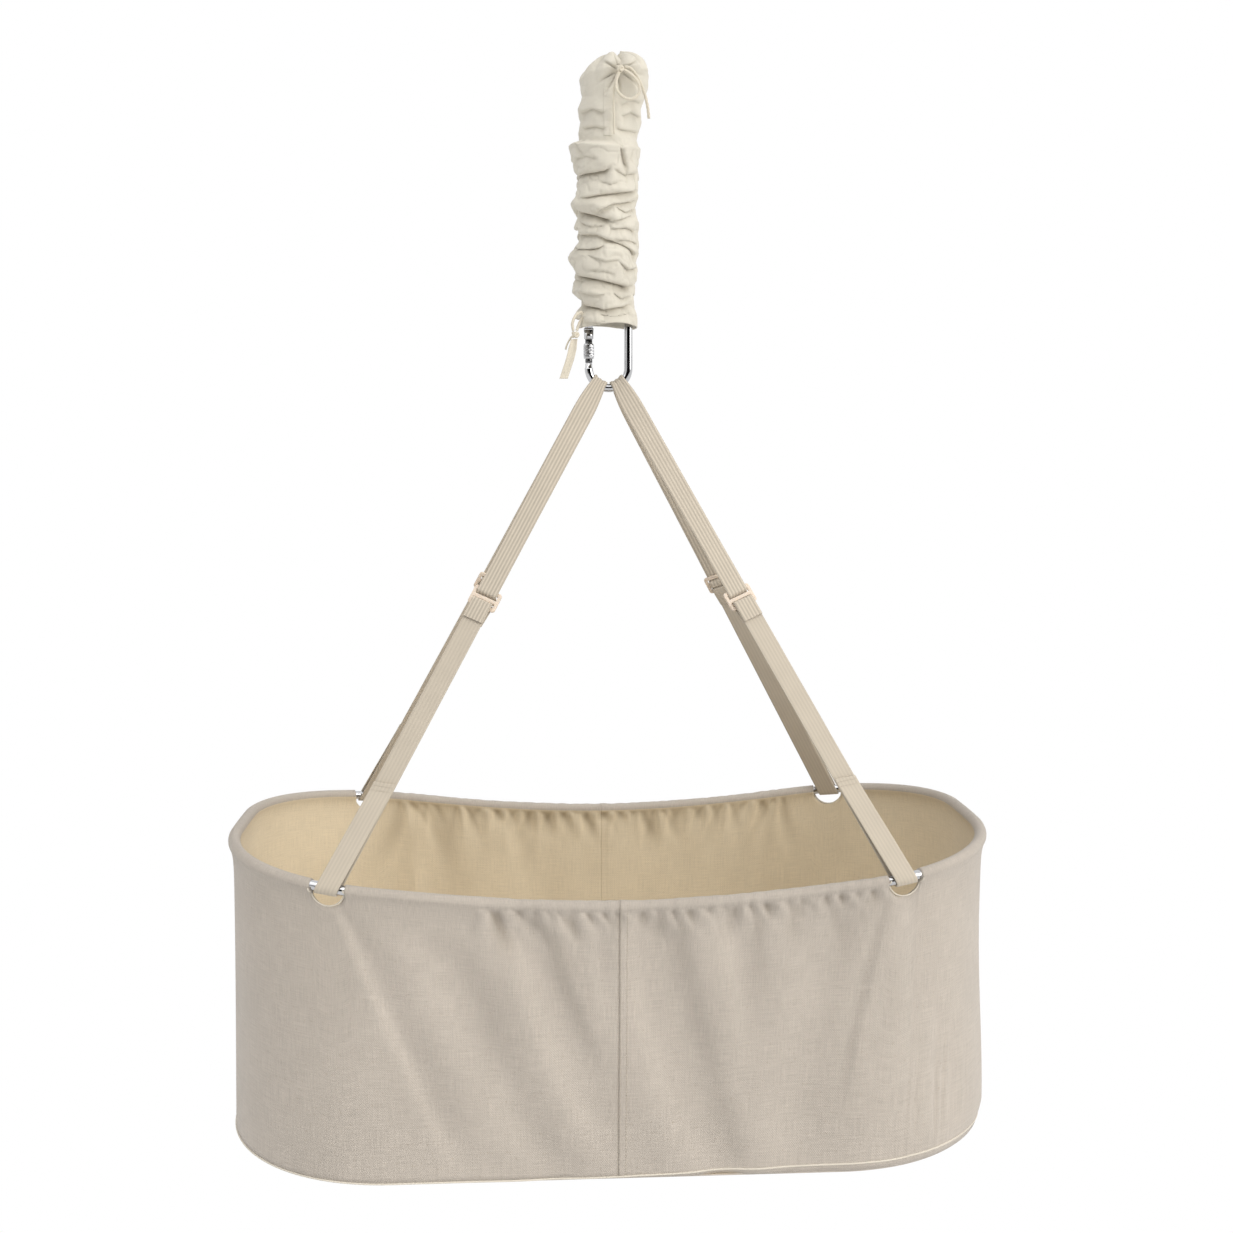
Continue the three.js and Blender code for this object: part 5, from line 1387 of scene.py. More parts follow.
def cut_across(bm, side, distance, keep_beyond):
    """Cuts a body by a plane at a distance to one side of the gate and closes the cut."""
    geometry = bm.verts[:] + bm.edges[:] + bm.faces[:]
    bmesh.ops.bisect_plane(bm, geom=geometry, plane_co=(GATE_X, side * distance, 0),
                           plane_no=(0, side, 0), clear_inner=keep_beyond,
                           clear_outer=not keep_beyond)
    fill_holes(bm)


def carabiner_frame():
    """The bent rod with its hinge cheeks and nose."""
    upper = [(math.pi - a, UPPER_ARC) for a in np.linspace(0, math.pi, 49)]
    lower = [(-a, LOWER_ARC) for a in np.linspace(0, math.pi, 49)]
    arcs = [(BOW * math.cos(a), 0, z + BOW * math.sin(a)) for a, z in upper + lower]
    rod = tube([(GATE_X, 0, HINGE_Z + HINGE_ABOVE - 4 * MM)] + arcs, CARABINER_ROD / 2, 24)
    nose_top = GATE_END - GATE_GAP
    nose = turned_on_gate([
        (0, LOWER_ARC - 1 * MM), (NOSE_RADIUS, LOWER_ARC - 1 * MM), (NOSE_RADIUS, LOWER_ARC),
        (GATE_RADIUS, LOWER_ARC + 0.2 * MM), (GATE_RADIUS, nose_top - 0.5 * MM),
        (GATE_RADIUS - 0.5 * MM, nose_top), (0, nose_top),
    ])
    low, top = HINGE_Z - HINGE_BELOW, HINGE_Z + HINGE_ABOVE
    slot_top = HINGE_Z + GATE_RADIUS + GATE_GAP
    cap = turned_on_gate([
        (0, slot_top), (HINGE_RADIUS, slot_top), (HINGE_RADIUS, top - 0.8 * MM),
        (HINGE_RADIUS - 0.8 * MM, top), (0, top),
    ])
    parts = [rod, nose, cap]
    for side in (-1, 1):
        cheek = turned_on_gate([
            (0, low), (HINGE_RADIUS - 0.9 * MM, low), (HINGE_RADIUS, low + 0.9 * MM),
            (HINGE_RADIUS, slot_top), (0, slot_top),
        ])
        cut_across(cheek, side, HINGE_SLOT_HALF, True)
        face_outwards(cheek)
        parts.append(cheek)
    make_piece("carabiner_frame", joined(*parts), ["bright_steel"], "carabiner",
               ["carabiner_body"])


def hinge_rivet():
    """The gate's pin with domed ends."""
    reach, dome = HINGE_RADIUS - FIT_GAP, PIN_RADIUS - 0.4 * MM
    profile = [(0, -reach), (dome, -reach + 0.1 * MM), (PIN_RADIUS, -reach + 0.5 * MM),
               (PIN_RADIUS, reach - 0.5 * MM), (dome, reach - 0.1 * MM), (0, reach)]
    bm = lathe(profile, 24, axis=(0, 1, 0), centre=(GATE_X, 0, HINGE_Z))
    make_piece("hinge_rivet", bm, ["gate_steel"], "carabiner", ["gate_pin"])


def gate_bar():
    """The gate: a threaded bar with a flat tongue and eye on the hinge pin."""
    edge, thread_start = 0.4 * MM, GATE_END + 4 * MM
    profile = [(0, GATE_END), (GATE_RADIUS - edge, GATE_END), (GATE_RADIUS, GATE_END + edge)]
    for i in range(THREADS):
        profile.append((GATE_RADIUS, thread_start + THREAD_PITCH * i))
        profile.append((GATE_RADIUS - THREAD_DEPTH, thread_start + THREAD_PITCH * (i + 0.5)))
    profile += [(GATE_RADIUS, thread_start + THREAD_PITCH * THREADS),
                (GATE_RADIUS, GATE_SHOULDER - edge), (GATE_RADIUS - edge, GATE_SHOULDER),
                (0, GATE_SHOULDER)]
    bar = turned_on_gate(profile)
    root = GATE_SHOULDER - 1 * MM
    tongue = turned_on_gate([(0, root), (GATE_RADIUS, root), (GATE_RADIUS, HINGE_Z), (0, HINGE_Z)])
    for side in (-1, 1):
        cut_across(tongue, side, TONGUE_HALF, False)
    face_outwards(tongue)
    eye = lathe([(0, -TONGUE_HALF), (GATE_RADIUS, -TONGUE_HALF), (GATE_RADIUS, TONGUE_HALF),
                 (0, TONGUE_HALF)], axis=(0, 1, 0), centre=(GATE_X, 0, HINGE_Z))
    make_piece("gate_bar", joined(bar, tongue, eye), ["gate_steel"], "gate",
               ["carabiner_gate"])


def locking_collar():
    """The screw collar: knurled between two chamfered bands."""
    band, rim = COLLAR_RADIUS - 0.2 * MM, COLLAR_RADIUS - 1.0 * MM
    start = [(COLLAR_BORE, 0), (rim, 0), (band, 0.8 * MM), (band, 2.4 * MM)]
    knurled = np.linspace(COLLAR_LOW + 2.8 * MM, COLLAR_HIGH - 2.8 * MM, 26)
    profile = [(r, COLLAR_LOW + z) for r, z in start]
    profile += [(COLLAR_RADIUS, z) for z in knurled]
    profile += [(r, COLLAR_HIGH - z) for r, z in start[::-1]]
    profile = np.array(profile + profile[:1])

    def shape(u, v):
        row = nearest(v, len(profile))
        reach, z = profile[row, 0].copy(), profile[row, 1]
        angle, slant = u * TAU, (z - COLLAR_LOW) / (2.2 * MM)
        on_knurl = (row >= len(start)) & (row < len(start) + len(knurled))
        cuts = np.minimum(np.abs(np.sin(angle * KNURLS + slant)),
                          np.abs(np.sin(angle * KNURLS - slant)))
        reach -= on_knurl * KNURL_DEPTH * (1 - np.clip(cuts / 0.5, 0, 1))
        return np.stack([GATE_X + reach * np.cos(angle), reach * np.sin(angle), z], 1)

    bm = shaped_grid(140, len(profile) - 1, shape)
    merge_points(bm)
    face_outwards(bm)
    make_piece("locking_collar", bm, ["bright_steel"], "collar", ["screw_collar"])


# Sleeve and ties

# Height, left and right edge of the sleeve in millimetres, down its length
SLEEVE_OUTLINE = np.array([
    (30, -31, 41), (8, -33, 49), (-5, -33, 46), (-19, -32, 41), (-32, -36, 38), (-46, -32, 38),
    (-59, -36, 36), (-68, -36, 35), (-73, -45, 37), (-87, -43, 36), (-100, -40, 35),
    (-114, -37, 34), (-122, -38, 34), (-130, -43, 35), (-138, -47, 34), (-146, -42, 33),
    (-155, -39, 34), (-163, -41, 36), (-172, -41, 34), (-181, -38, 36), (-189, -44, 37),
    (-199, -49, 35), (-208, -47, 32), (-217, -41, 35), (-226, -44, 34), (-238, -45, 30),
    (-250, -34, 29), (-256, -32, 30), (-266, -39, 34), (-279, -36, 34),
]) * MM


# Creases of the ruched cotton as seen from the front: across and height where each starts,
# passes and ends, then half width and depth, in millimetres
SLEEVE_CREASES = [
    (12, -73, 16, -84, 22, -95, 3.0, 4.5),
    (-34, -71, -30, -80, -30, -90, 2.4, 2.5),
    (-34, -104, -20, -101, -3, -98, 2.2, 7.0),
    (34, -122, 4, -124, -30, -131, 2.0, 6.5),
    (32, -134, 8, -136, -16, -144, 1.6, 5.5),
    (-35, -146, -20, -149, -1, -154, 2.2, 8.0),
    (30, -151, 14, -155, -1, -158, 1.4, 3.5),
    (-36, -173, -16, -172, -4, -177, 1.8, 5.5),
    (-4, -177, 16, -184, 32, -196, 1.6, 6.0),
    (6, -176, 22, -179, 36, -184, 1.6, 4.0),
    (-38, -190, -24, -189, -10, -187, 2.2, 7.5),
    (-38, -219, 2, -227, 30, -232, 2.6, 8.5),
    (-34, -239, -20, -243, -8, -242, 1.6, 3.0),
    (-38, -254, -8, -258, 30, -254, 2.4, 7.0),
    (-12, -265, 8, -267, 28, -264, 1.6, 5.0),
    (-36, -36, -22, -30, -8, -34, 2.2, 3.5),
    (-34, -53, -20, -50, -8, -52, 2.0, 3.0),
    (16, -38, 26, -34, 36, -40, 2.2, 3.5),
    (10, -52, 22, -54, 36, -57, 1.8, 3.0),
    (14, -26, 24, -20, 36, -24, 2.0, 2.5),
    (-36, -88, -26, -84, -16, -86, 1.4, 2.5),
    (8, -100, 20, -104, 34, -103, 1.8, 3.5),
    (-12, -112, 0, -114, 10, -112, 1.4, 2.0),
    (10, -142, 22, -146, 36, -144, 1.4, 4.0),
    (-34, -160, -24, -163, -10, -162, 1.6, 3.5),
    (2, -166, 18, -165, 34, -170, 1.6, 4.0),
    (-24, -198, -6, -204, 8, -203, 1.5, 3.0),
    (12, -206, 24, -212, 36, -212, 1.6, 4.5),
    (-20, -212, -8, -213, 4, -216, 1.3, 2.5),
    (6, -240, 18, -244, 32, -243, 1.6, 4.0),
    (-30, -272, -14, -274, 0, -271, 1.4, 2.5),
]


SLEEVE_COLUMNS, SLEEVE_ROWS = 184, 250
SLEEVE_REACH = 38 * MM
KNOT_ANGLE = math.radians(286)
PLACKET_ANGLE = math.radians(266)
PLACKET_WIDTH, PLACKET_TOP, PLACKET_BOTTOM = 11.5 * MM, -15 * MM, -69 * MM

# Share of the sleeve's cloth, from its drawn neck, that makes the puffed top
PUFF_SHARE = 0.2


def seen_lift(angle, height):
    """How much higher a point on the sleeve's front looks than one on its side, in
    millimetres."""
    return np.maximum(0, -np.sin(angle)) * 0.0216 * (height + 415)


def sleeve_creases():
    """Creases as angle and height at start, middle and end, with half width and depth; more
    of them, placed at random, on the side away from the front."""
    creases = []
    for x0, z0, x1, z1, x2, z2, width, deep in SLEEVE_CREASES:
        turns = [TAU - math.acos(max(-0.98, min(0.98, x * MM / SLEEVE_REACH)))
                 for x in (x0, x1, x2)]
        heights = [z - seen_lift(turn, z) for turn, z in zip(turns, (z0, z1, z2))]
        creases.append((turns, heights, width * (1.0 + 0.05 * deep), deep * 1.1))
    rng = random.Random(21)
    height = -84.0
    while height > -270:
        for start in (rng.uniform(-0.2, 0.3), rng.uniform(1.5, 2.0)):
            turns = [start, start + rng.uniform(0.6, 0.9), start + rng.uniform(1.3, 1.9)]
            level = height + rng.uniform(-5, 5)
            heights = (level, level + rng.uniform(-4, 4), level + rng.uniform(-8, 8))
            creases.append((turns, heights, rng.uniform(1.6, 2.6), rng.uniform(4, 7.5)))
        height -= rng.uniform(12, 19)
    return creases


def crease_depth(angle, height, crease):
    """Depth of one crease at an angle and a height in millimetres, a sharp valley that is
    steeper on its upper side, and how far the cloth above it droops over it."""
    turns, heights, width, deep = crease
    low = min(turns)
    wrapped = np.mod(angle - low + 0.5, TAU) + low - 0.5
    share = np.clip((wrapped - turns[0]) / (turns[2] - turns[0]), -0.3, 1.3)
    middle = (turns[1] - turns[0]) / (turns[2] - turns[0])
    line = np.interp(share, [0, middle, 1], heights)
    ends = smoothstep(-0.16, 0.12, share) * smoothstep(1.16, 0.88, share)
    above = height - line
    away = np.where(above > 0, above / width, -above / (width * 3.0))
    droop = np.where(above > 0, above / (width * 1.3) * np.exp(1 - above / (width * 1.3)), 0)
    return deep * ends * np.exp(-(away ** 1.2)), deep * ends * droop


def sleeve_shape(u, v):
    """The ruched sleeve's outside; u runs round it from the right and v from its drawn neck
    over the puffed top to the bottom."""
    angle = u * TAU
    from_knot = np.mod(angle - KNOT_ANGLE + math.pi, TAU) - math.pi
    knot = np.exp(-(from_knot / 0.30) ** 2)
    in_puff = v < PUFF_SHARE
    dome = np.clip(1 - v / PUFF_SHARE, 0, 1)
    down = np.clip((v - PUFF_SHARE) / (1 - PUFF_SHARE), 0, 1)
    bend = np.clip(dome / 0.8, 0, 1) * math.pi / 2
    tuck = np.clip((dome - 0.8) / 0.2, 0, 1)
    round_up = 25 * MM
    spring = 5 * MM + 1.5 * MM * np.sin(3 * angle + 1) + 3 * MM * np.cos(angle)
    z = spring + round_up * np.sin(bend) - 10 * MM * tuck
    z = np.where(v > PUFF_SHARE, spring + (UPPER_ARC - spring) * down, z)
    turn = 0.5 * (1 - np.cos(angle))
    slip = 6 * MM * np.sin(angle) ** 2
    order = SLEEVE_OUTLINE[::-1]
    left = np.interp(z + slip, order[:, 0], -order[:, 1])
    right = np.interp(z - slip, order[:, 0], order[:, 2])
    reach = right + (left - right) * turn
    # Painted shade is gathered here for the creases, the fine ridges, the folds round the knot and
    # the pleats of the puff
    out, drop, crease_shade = np.zeros_like(z), np.zeros_like(z), np.zeros_like(z)
    for crease in sleeve_creases():
        valley, droop = crease_depth(angle, z / MM, crease)
        out += (0.25 * droop - valley) * MM
        # Painted shade in the crease's valley
        crease_shade = np.maximum(crease_shade, np.clip(valley / 9, 0, 1) ** 1.6)
        drop += 0.62 * droop * MM
    ruched = smoothstep(70 * MM, 84 * MM, -z)
    for i, (a, height) in enumerate(zip(angle, z)):
        around = Vector((math.cos(a) * 0.9, math.sin(a) * 0.9, height / (22 * MM)))
        broad = noise.noise(around + Vector((3.1, 7.7, 0.4)))
        fine = noise.noise(around * 2.4 + Vector((0.3, 4.2, math.sin(a))))
        out[i] += (2.6 + 1.4 * ruched[i]) * MM * broad + (0.9 + 0.9 * ruched[i]) * MM * fine
        ridge = abs(noise.noise(Vector((2.3 * math.cos(a), 2.3 * math.sin(a), height / (9 * MM)))))
        ridge = max(0.0, 1 - ridge / 0.12) * (0.35 + 0.65 * ruched[i])
        out[i] -= 1.1 * MM * ridge
        # Painted shade along the fine ridges
        crease_shade[i] = max(crease_shade[i], 0.2 * ridge)
    edge = -z / MM - seen_lift(angle, z / MM) - 2.6 * np.cos(angle)
    cuff = smoothstep(70.5, 72.5, edge)
    out += 1.6 * MM * cuff - 1.4 * MM * smoothstep(58, 70, edge) * (1 - cuff)
    pleats = np.abs(np.sin(angle * 4.5 + 0.5 * np.sin(angle * 2 + 1))) ** 0.6
    out -= 5 * MM * (1 - pleats) * smoothstep(-14 * MM, 20 * MM, z)
    out -= 5.5 * MM * knot * np.exp(-((z - 2 * MM) / (13 * MM)) ** 2)
    # Folds that run out from the knot
    beside = SLEEVE_REACH / MM * from_knot
    above = z / MM - TOP_KNOT[2]
    spoke = np.arctan2(above, beside)
    drawn = np.exp(-((np.hypot(beside, above) - 10) / 17) ** 2)
    rays = np.abs(np.sin(4.5 * spoke + 0.6 * np.sin(3 * spoke + 0.5)))
    rays = drawn * (1 - smoothstep(0, 0.5, rays))
    out -= 3.0 * MM * rays
    # Painted shade in the folds round the knot
    crease_shade = np.maximum(crease_shade, 0.6 * rays)
    reach = np.clip(reach - 1.6 * MM * ruched + out, 22 * MM, 50 * MM)
    inner = 7 * MM
    reach = inner + (reach - inner) * np.where(in_puff, np.cos(bend) ** 0.8, 1)
    puff = np.where(in_puff, np.sin(bend), 0)
    z = z - (3.0 * MM * (1 - pleats) + 6 * MM * knot) * puff - drop * (v > PUFF_SHARE)
    low = smoothstep(-262 * MM, -279 * MM, z)
    reach = reach * (1 - 0.03 * low * low)
    # Room for the carabiner's bow, which tilts inside the open end
    bow_half = np.sqrt(np.maximum(BOW ** 2 - np.maximum(z - UPPER_ARC, 0) ** 2, 0))
    tilted = np.maximum(BOTTOM_EYE_Z - z, 0) * math.tan(math.radians(20)) + 2 * MM
    room = np.hypot(bow_half, tilted) + CARABINER_ROD / 2 + 1.8 * MM
    reach = np.where(z < BOTTOM_EYE_Z, np.maximum(reach, room), reach)
    z = z - low * (2.5 * MM + 2.5 * MM * np.sin(2 * angle + 0.9))
    # Painted shade round the knot and in the pleats of the puff
    crease_shade = np.maximum(crease_shade, 0.5 * knot * np.exp(-((z - 6 * MM) / (12 * MM)) ** 2))
    crease_shade = np.maximum(crease_shade, 0.6 * (1 - pleats) * smoothstep(0.1, 1, puff))
    return np.stack([
        reach * np.cos(angle) + 7 * MM * puff, reach * np.sin(angle), z, 0.75 * crease_shade
    ], 1)


def sleeve_placket():
    """The narrow band down the front of the sleeve's top."""
    def shape(u, v):
        angle = PLACKET_ANGLE + (u - 0.5) * PLACKET_WIDTH / SLEEVE_REACH
        start = sleeve_shape(angle / TAU, np.full_like(u, PUFF_SHARE))[:, 2]
        end = sleeve_shape(angle / TAU, np.full_like(u, 1.0))[:, 2]
        down = (PLACKET_TOP + (PLACKET_BOTTOM - PLACKET_TOP) * v - start) / (end - start)
        place = sleeve_shape(angle / TAU, PUFF_SHARE + (1 - PUFF_SHARE) * down)
        from_side = np.minimum(u, 1 - u) * PLACKET_WIDTH
        # Painted shade along the band's long edges, where it lies on the sleeve
        place[:, 3] = 0.35 * smoothstep(0.9 * MM, 0.2 * MM, from_side)
        from_end = np.minimum(v, 1 - v) * (PLACKET_TOP - PLACKET_BOTTOM)
        rise = 0.9 * MM * smoothstep(0, 0.6 * MM, np.minimum(from_side, from_end)) - 0.3 * MM
        place[:, 0] += np.cos(angle) * rise
        place[:, 1] += np.sin(angle) * rise
        return place

    bm = shaped_grid(24, 70, shape, (PLACKET_WIDTH, PLACKET_TOP - PLACKET_BOTTOM))
    face_outwards(bm, Vector((0, 0, -0.04)))
    piece = make_piece("sleeve_placket", bm, ["ruched_cotton"], "spring_top", ())
    thicken(piece, 0.6 * MM)
    return piece


def cotton_sleeve():
    """The cotton sleeve over the spring."""
    bm = shaped_grid(SLEEVE_COLUMNS, SLEEVE_ROWS, sleeve_shape, (TAU * SLEEVE_REACH, 0.36))
    merge_points(bm)
    face_outwards(bm, Vector((0, 0, -0.13)))
    piece = make_piece("ruched_sleeve", bm, ["ruched_cotton"], None, ["cotton_sleeve"])
    thicken(piece, 1.2 * MM)
    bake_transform(piece)
    return piece


# Routes of the ties in millimetres, each from its knot to its end
TOP_KNOT = (11, -43.4, 4)
TOP_LOOP = [
    (9.6, -45.4, -0.5), (6.4, -46, -10), (7, -46, -20), (15, -46, -28), (25, -45.5, -29.5),
    (33, -44.6, -22), (31, -44.2, -10), (23, -44, -2), (15.8, -43.6, 2.6),
]
TOP_TAIL = [
    (16.1, -42.5, 6.2), (23, -41.2, 5), (32, -38, -5), (39, -35.5, -20), (43, -33, -34),
    (45, -31, -48),
]
PLACKET_CORD = [
    (8.4, -42.4, -0.6), (5.4, -42.5, -9), (3.6, -42.6, -25), (4.2, -41.2, -45),
    (4.4, -39.6, -58), (4.5, -38.6, -67),
]
BOTTOM_KNOT = (-40, -20, -292)
BOTTOM_LOOP = [
    (-38.3, -20, -287.2), (-35.4, -19.4, -279), (-31.2, -17.6, -271), (-33, -18.2, -266),
    (-39.5, -21, -270), (-43.4, -21.6, -279), (-42.4, -20.7, -287.6),
]
BOTTOM_TAPE = [
    (-41.3, -20.3, -297), (-43.2, -20.8, -307), (-46, -21.2, -319), (-50, -21.2, -331),
    (-54, -20.8, -343),
]
BOTTOM_TAIL = [
    (-44.4, -18.2, -294.2), (-47.6, -17, -299), (-50, -16.5, -304), (-51.4, -16.5, -309),
]
CORD_RADIUS = 1.8 * MM
THIN_CORD_RADIUS = 1.1 * MM


def twisted_cord(path, radius):
    """A cord of three strands along a path."""
    return tube(path, radius, 15, strands=3, twist=TAU * 3 / (radius * 9))


def tie_cord(name, points, radius, body, replaced):
    """A twisted cotton cord along its route, and its centre line."""
    length = path_length(curve_points(np.array(points) * MM, 60))
    path = curve_points(np.array(points) * MM, int(length / 0.0009))
    piece = make_piece(name, twisted_cord(path, radius), ["twisted_cotton"], body, [replaced])
    return piece, path


def tie_knot(name, centre, body, replaced):
    """An overhand knot: a closed cord that goes round twice in three crossing lobes."""
    angle = np.linspace(0, 2 * TAU, 150)
    reach = 2.7 * MM + 0.5 * MM * np.cos(angle * 1.5)
    path = np.stack([
        reach * np.cos(angle), reach * np.sin(angle) * 0.8, 2.2 * MM * np.sin(angle * 1.5)
    ], 1) + np.array(centre) * MM
    return make_piece(name, twisted_cord(path, CORD_RADIUS), ["twisted_cotton"], body,
                      [replaced])


def tie_tape():
    """The flat tape tail of the lower tie."""
    path = curve_points(np.array(BOTTOM_TAPE) * MM, 60)
    length = path_length(path)
    side = [(a, 1.0) for a in np.linspace(-0.96, 0.96, 12)]
    section = side + [(1, 0)] + [(a, -b) for a, b in side[::-1]] + [(-1, 0)]
    section = np.array(section + section[:1])

    def shape(u, v):
        a, b = section[nearest(u, len(section))].T
        place = path[nearest(v, len(path))].copy()
        narrow = 0.8 + 0.2 * smoothstep(0, 0.3, v)
        place[:, 0] += a * 4.9 * MM * narrow
        place[:, 1] += b * 0.6 * MM + 0.8 * MM * np.cos(a * math.pi) * (1 - v)
        return place

    bm = shaped_grid(len(section) - 1, len(path) - 1, shape, (0.018, length))
    merge_points(bm)
    fill_holes(bm)
    face_outwards(bm)
    return make_piece("tie_tape", bm, ["twisted_cotton"], "spring_bottom", ["bottom_tape"])


# Settings


def colour_property(name, description, default):
    return bpy.props.FloatVectorProperty(
        name=name, description=description, default=default, subtype="COLOR", size=3, min=0, max=1
    )


class CradleLook(bpy.types.PropertyGroup):
    """Colours, finishes and small sizes of the cradle's looks."""

    canvas_colour: colour_property(
        "Canvas", "Colour of the basket's outer canvas", (0.58, 0.515, 0.443))
    # The inside is the same canvas as the outside; its lighter, yellower colour is painted light
    # for the light that bounces round inside the basket
    inner_lit_colour: colour_property(
        "Lit inner side", "Colour of the basket's inner side", (0.80, 0.68, 0.49))
    hem_colour: colour_property("Hem", "Colour of the rolled hem", (0.72, 0.66, 0.56))
    sleeve_colour: colour_property("Sleeve", "Colour of the cotton sleeve", (0.72, 0.675, 0.575))
    tie_colour: colour_property("Ties", "Colour of the sleeve's ties", (0.78, 0.71, 0.58))
    webbing_colour: colour_property("Webbing", "Colour of the straps", (0.62, 0.545, 0.44))
    slider_colour: colour_property("Sliders", "Colour of the moulded sliders", (0.74, 0.62, 0.50))
    mattress_colour: colour_property("Mattress", "Colour of the mattress", (0.85, 0.82, 0.76))
    thread_colour: colour_property("Thread", "Colour of the sewing thread", (0.50, 0.44, 0.35))
    steel_colour: colour_property("Steel", "Colour of the polished steel", (0.56, 0.56, 0.57))
    board_colour: colour_property("Board", "Colour of the base board", (0.60, 0.42, 0.24))
    steel_roughness: bpy.props.FloatProperty(
        name="Steel roughness", description="Roughness of the polished steel", default=0.1,
        min=0, max=1, subtype="FACTOR")
    canvas_pitch: bpy.props.FloatProperty(
        name="Canvas yarn pitch", description="Distance between yarns of the canvas",
        default=0.0012, min=0.0003, max=0.01, precision=4, subtype="DISTANCE", unit="LENGTH")
    fold_depth: bpy.props.FloatProperty(
        name="Fold depth", description="Strength of the canvas folds and gathers", default=1.2,
        min=0, max=2, subtype="FACTOR")


class CradleStage(bpy.types.PropertyGroup):
    """Light and floor round the cradle."""

    floor_drop: bpy.props.FloatProperty(
        name="Floor", description="Height of the floor in the part's frame", default=-1.95,
        subtype="DISTANCE", unit="LENGTH")
    key_strength: bpy.props.FloatProperty(
        name="Key light", description="Strength of the soft light from the front right",
        default=1.6, min=0, max=20)
    fill_strength: bpy.props.FloatProperty(
        name="Fill light", description="Strength of the soft light from the front left",
        default=0.6, min=0, max=20)
    top_strength: bpy.props.FloatProperty(
        name="Top light", description="Strength of the soft light from above",
        default=1.1, min=0, max=20)
    world_strength: bpy.props.FloatProperty(
        name="Ambient light", description="Strength of the even light from all round",
        default=0.42, min=0, max=2)


# Stage


def soft_sun(name, place, spread, strength, colour=(1, 1, 1)):
    """Even light from the side of place; spread is how wide its source looks."""
    data = bpy.data.lights.new(name, "SUN")
    data.energy = strength
    data.angle = math.radians(spread)
    data.color = colour
    lamp = bpy.data.objects.new(name, data)
    bpy.context.scene.collection.objects.link(lamp)
    lamp.location = place
    lamp.rotation_euler = (-lamp.location).to_track_quat("-Z", "Y").to_euler()


# The photograph's side and the lens's focal length in its pixels
PHOTO_SIDE, FOCAL_LENGTH = 1233, 1494
CAMERA_PLACE = (-0.096, -1.796, -0.415)
CAMERA_YAW, CAMERA_PITCH = math.radians(3.36), math.radians(6.72)


def studio_camera():
    data = bpy.data.cameras.new("camera")
    data.sensor_width = 36
    data.lens = data.sensor_width * FOCAL_LENGTH / PHOTO_SIDE
    camera = bpy.data.objects.new("camera", data)
    bpy.context.scene.collection.objects.link(camera)
    camera.location = CAMERA_PLACE
    camera.rotation_euler = (math.pi / 2 - CAMERA_PITCH, 0, -CAMERA_YAW)
    bpy.context.scene.camera = camera


def studio_world(strength):
    """Even white light, with white shown to the camera and a dark room in front for steel."""
    world = bpy.data.worlds.new("studio")
    bpy.context.scene.world = world
    world.use_nodes = True
    graph = Graph(world.node_tree)
    rays = graph.add("ShaderNodeLightPath").outputs
    seen = graph.maths("MAXIMUM", rays["Is Camera Ray"], rays["Is Glossy Ray"])
    seen = graph.maths("MAXIMUM", seen, rays["Is Transmission Ray"])
    place = graph.add("ShaderNodeTexCoord").outputs["Generated"]
    front = graph.add("ShaderNodeVectorMath", {0: place, 1: (0.06, -1, 0.0)},
                      operation="DOT_PRODUCT").outputs["Value"]
    dark = graph.ramp(front, 0.55, 0.75)
    dark = graph.maths("MULTIPLY", dark, rays["Is Glossy Ray"])
    level = graph.maths("MULTIPLY_ADD", seen, 1 - strength, strength)
    level = graph.maths("MULTIPLY", level, graph.maths("SUBTRACT", 1.0, dark))
    background = graph.add("ShaderNodeBackground", {0: (1, 1, 1, 1), 1: level})
    graph.add("ShaderNodeOutputWorld", {0: background.outputs[0]})


def studio_floor(height):
    """A pale floor that turns to plain white away from the object's shadow."""
    bm = bmesh.new()
    bmesh.ops.create_circle(bm, cap_ends=True, segments=96, radius=14)
    bmesh.ops.translate(bm, verts=bm.verts[:], vec=(0, 0, height))
    material, graph = new_material("floor_white")
    flat = graph.stretched(graph.object_place(), (1, 1, 0))
    away = graph.add("ShaderNodeVectorMath", {0: flat}, operation="LENGTH").outputs["Value"]
    paint = graph.add("ShaderNodeBsdfDiffuse", {"Color": (0.9, 0.9, 0.9, 1)})
    white = graph.add("ShaderNodeEmission", {"Color": (1, 1, 1, 1), "Strength": 1.0})
    rays = graph.add("ShaderNodeLightPath").outputs
    seen = graph.maths("MAXIMUM", rays["Is Camera Ray"], rays["Is Glossy Ray"])
    share = graph.maths("MULTIPLY", graph.ramp(away, 0.5, 0.95), seen)
    mixed = graph.add("ShaderNodeMixShader", {0: share, 1: paint.outputs[0], 2: white.outputs[0]})
    graph.add("ShaderNodeOutputMaterial", {0: mixed.outputs[0]})
    mesh = bpy.data.meshes.new("floor")
    bm.to_mesh(mesh)
    bm.free()
    mesh.materials.append(material)
    floor = bpy.data.objects.new("floor", mesh)
    bpy.context.scene.collection.objects.link(floor)


class CRADLE_OT_stage(bpy.types.Operator):
    """Camera, lamps, world and floor"""

    bl_idname = "cradle.stage"
    bl_label = "Stage"

    def execute(self, context):
        stage = context.scene.cradle_stage
        context.scene.view_settings.view_transform = "Standard"
        studio_camera()
        studio_world(stage.world_strength)
        studio_floor(stage.floor_drop)
        soft_sun("key", (2.4, -1.5, 1.0), 40, stage.key_strength, (1.0, 0.985, 0.96))
        soft_sun("fill", (-1.6, -0.9, 2.2), 60, stage.fill_strength)
        soft_sun("top", (0.15, -1.35, 2.7), 60, stage.top_strength)
        return {"FINISHED"}


